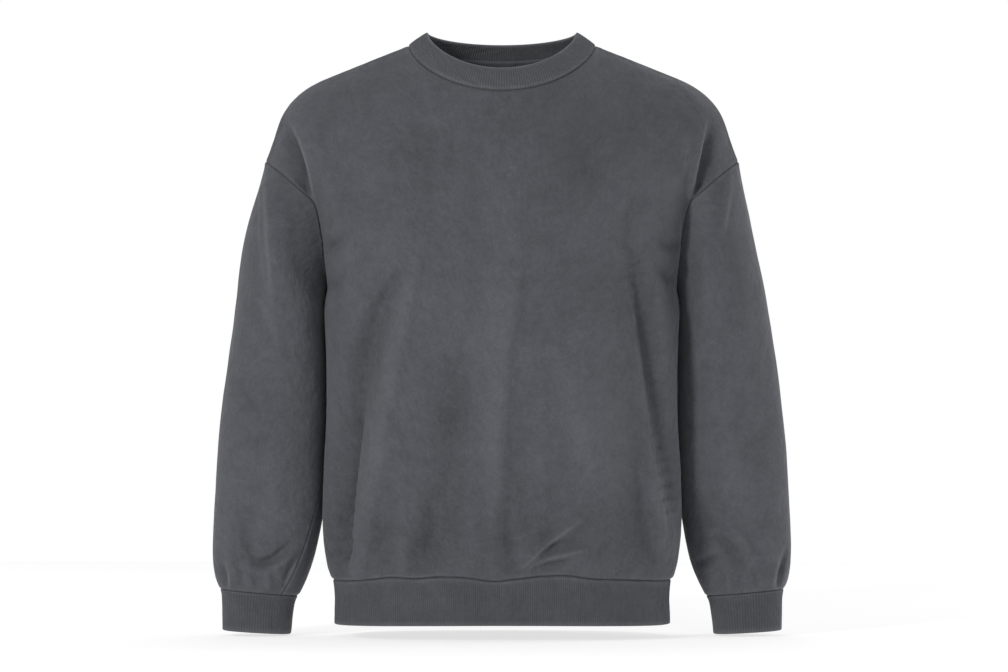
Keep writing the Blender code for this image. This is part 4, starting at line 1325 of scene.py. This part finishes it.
class SweatshirtColours(bpy.types.PropertyGroup):
    """Colours of the dyed cotton."""

    jersey: FloatVectorProperty(
        name="Jersey", description="Colour of the body and sleeves",
        default=linear("#4F5055"), size=3, min=0.0, max=1.0, subtype="COLOR")
    rib: FloatVectorProperty(
        name="Rib", description="Colour of the neckband, cuffs and hem",
        default=linear("#494A4D"), size=3, min=0.0, max=1.0, subtype="COLOR")
    # Also the colour of the painted highlight along crisp fold crests.
    worn: FloatVectorProperty(
        name="Worn ridges", description="Colour of the rubbed cloth beside seams and at folds",
        default=linear("#6B6C70"), size=3, min=0.0, max=1.0, subtype="COLOR")
    # Painted shade: the dark colour painted down in the seam grooves and between the ribs.
    groove_shade: FloatVectorProperty(
        name="Seam grooves", description="Colour down in the seams and between the ribs",
        default=linear("#2E2F32"), size=3, min=0.0, max=1.0, subtype="COLOR")
    tape: FloatVectorProperty(
        name="Neck tape", description="Colour of the tape inside the back neck",
        default=linear("#3A3B3E"), size=3, min=0.0, max=1.0, subtype="COLOR")


class SWEATSHIRT_OT_body(bpy.types.Operator):
    """Build the front and the back"""

    bl_idname = "sweatshirt.body"
    bl_label = "Body"

    def execute(self, context):
        make_panel(True)
        make_panel(False)
        return {"FINISHED"}


class SWEATSHIRT_OT_sleeves(bpy.types.Operator):
    """Build both sleeves"""

    bl_idname = "sweatshirt.sleeves"
    bl_label = "Sleeves"

    def execute(self, context):
        make_sleeve(True)
        make_sleeve(False)
        return {"FINISHED"}


class SWEATSHIRT_OT_neckband(bpy.types.Operator):
    """Build the ribbed neckband"""

    bl_idname = "sweatshirt.neckband"
    bl_label = "Neckband"

    def execute(self, context):
        make_neckband()
        return {"FINISHED"}


class SWEATSHIRT_OT_neck_tape(bpy.types.Operator):
    """Build the tape inside the back neck"""

    bl_idname = "sweatshirt.neck_tape"
    bl_label = "Neck tape"

    def execute(self, context):
        make_neck_tape()
        return {"FINISHED"}


class SWEATSHIRT_OT_cuffs(bpy.types.Operator):
    """Build both ribbed cuffs"""

    bl_idname = "sweatshirt.cuffs"
    bl_label = "Cuffs"

    def execute(self, context):
        make_cuff(True)
        make_cuff(False)
        return {"FINISHED"}


class SWEATSHIRT_OT_hem(bpy.types.Operator):
    """Build the front and back lengths of the hem rib"""

    bl_idname = "sweatshirt.hem"
    bl_label = "Hem rib"

    def execute(self, context):
        make_hem(True)
        make_hem(False)
        return {"FINISHED"}


class SWEATSHIRT_OT_stage(bpy.types.Operator):
    """Build the floor, the lights and the camera"""

    bl_idname = "sweatshirt.stage"
    bl_label = "Stage"

    def execute(self, context):
        make_stage()
        return {"FINISHED"}


PIECES = (
    SWEATSHIRT_OT_body, SWEATSHIRT_OT_sleeves, SWEATSHIRT_OT_neckband,
    SWEATSHIRT_OT_neck_tape, SWEATSHIRT_OT_cuffs, SWEATSHIRT_OT_hem, SWEATSHIRT_OT_stage,
)


class SWEATSHIRT_PT_main(bpy.types.Panel):
    """Sizes, colours and pieces of the sweatshirt"""

    bl_label = "Crewneck Sweatshirt"
    bl_idname = "SWEATSHIRT_PT_main"
    bl_space_type = "VIEW_3D"
    bl_region_type = "UI"
    bl_category = "Sweatshirt"

    def draw(self, context):
        for settings in (context.scene.sweatshirt_sizes, context.scene.sweatshirt_colours):
            box = self.layout.box()
            for label in settings.__annotations__:
                box.prop(settings, label)
        for operator in PIECES:
            self.layout.operator(operator.bl_idname)


CLASSES = (SweatshirtSizes, SweatshirtColours, *PIECES, SWEATSHIRT_PT_main)


def register():
    for each in CLASSES:
        bpy.utils.register_class(each)
    bpy.types.Scene.sweatshirt_sizes = PointerProperty(type=SweatshirtSizes)
    bpy.types.Scene.sweatshirt_colours = PointerProperty(type=SweatshirtColours)


def unregister():
    del bpy.types.Scene.sweatshirt_colours
    del bpy.types.Scene.sweatshirt_sizes
    for each in reversed(CLASSES):
        bpy.utils.unregister_class(each)


def main():
    """Registers the add-on and builds every piece."""
    register()
    bpy.ops.sweatshirt.body()
    bpy.ops.sweatshirt.sleeves()
    bpy.ops.sweatshirt.neckband()
    bpy.ops.sweatshirt.neck_tape()
    bpy.ops.sweatshirt.cuffs()
    bpy.ops.sweatshirt.hem()
    bpy.ops.sweatshirt.stage()


if __name__ == "__main__":
    main()
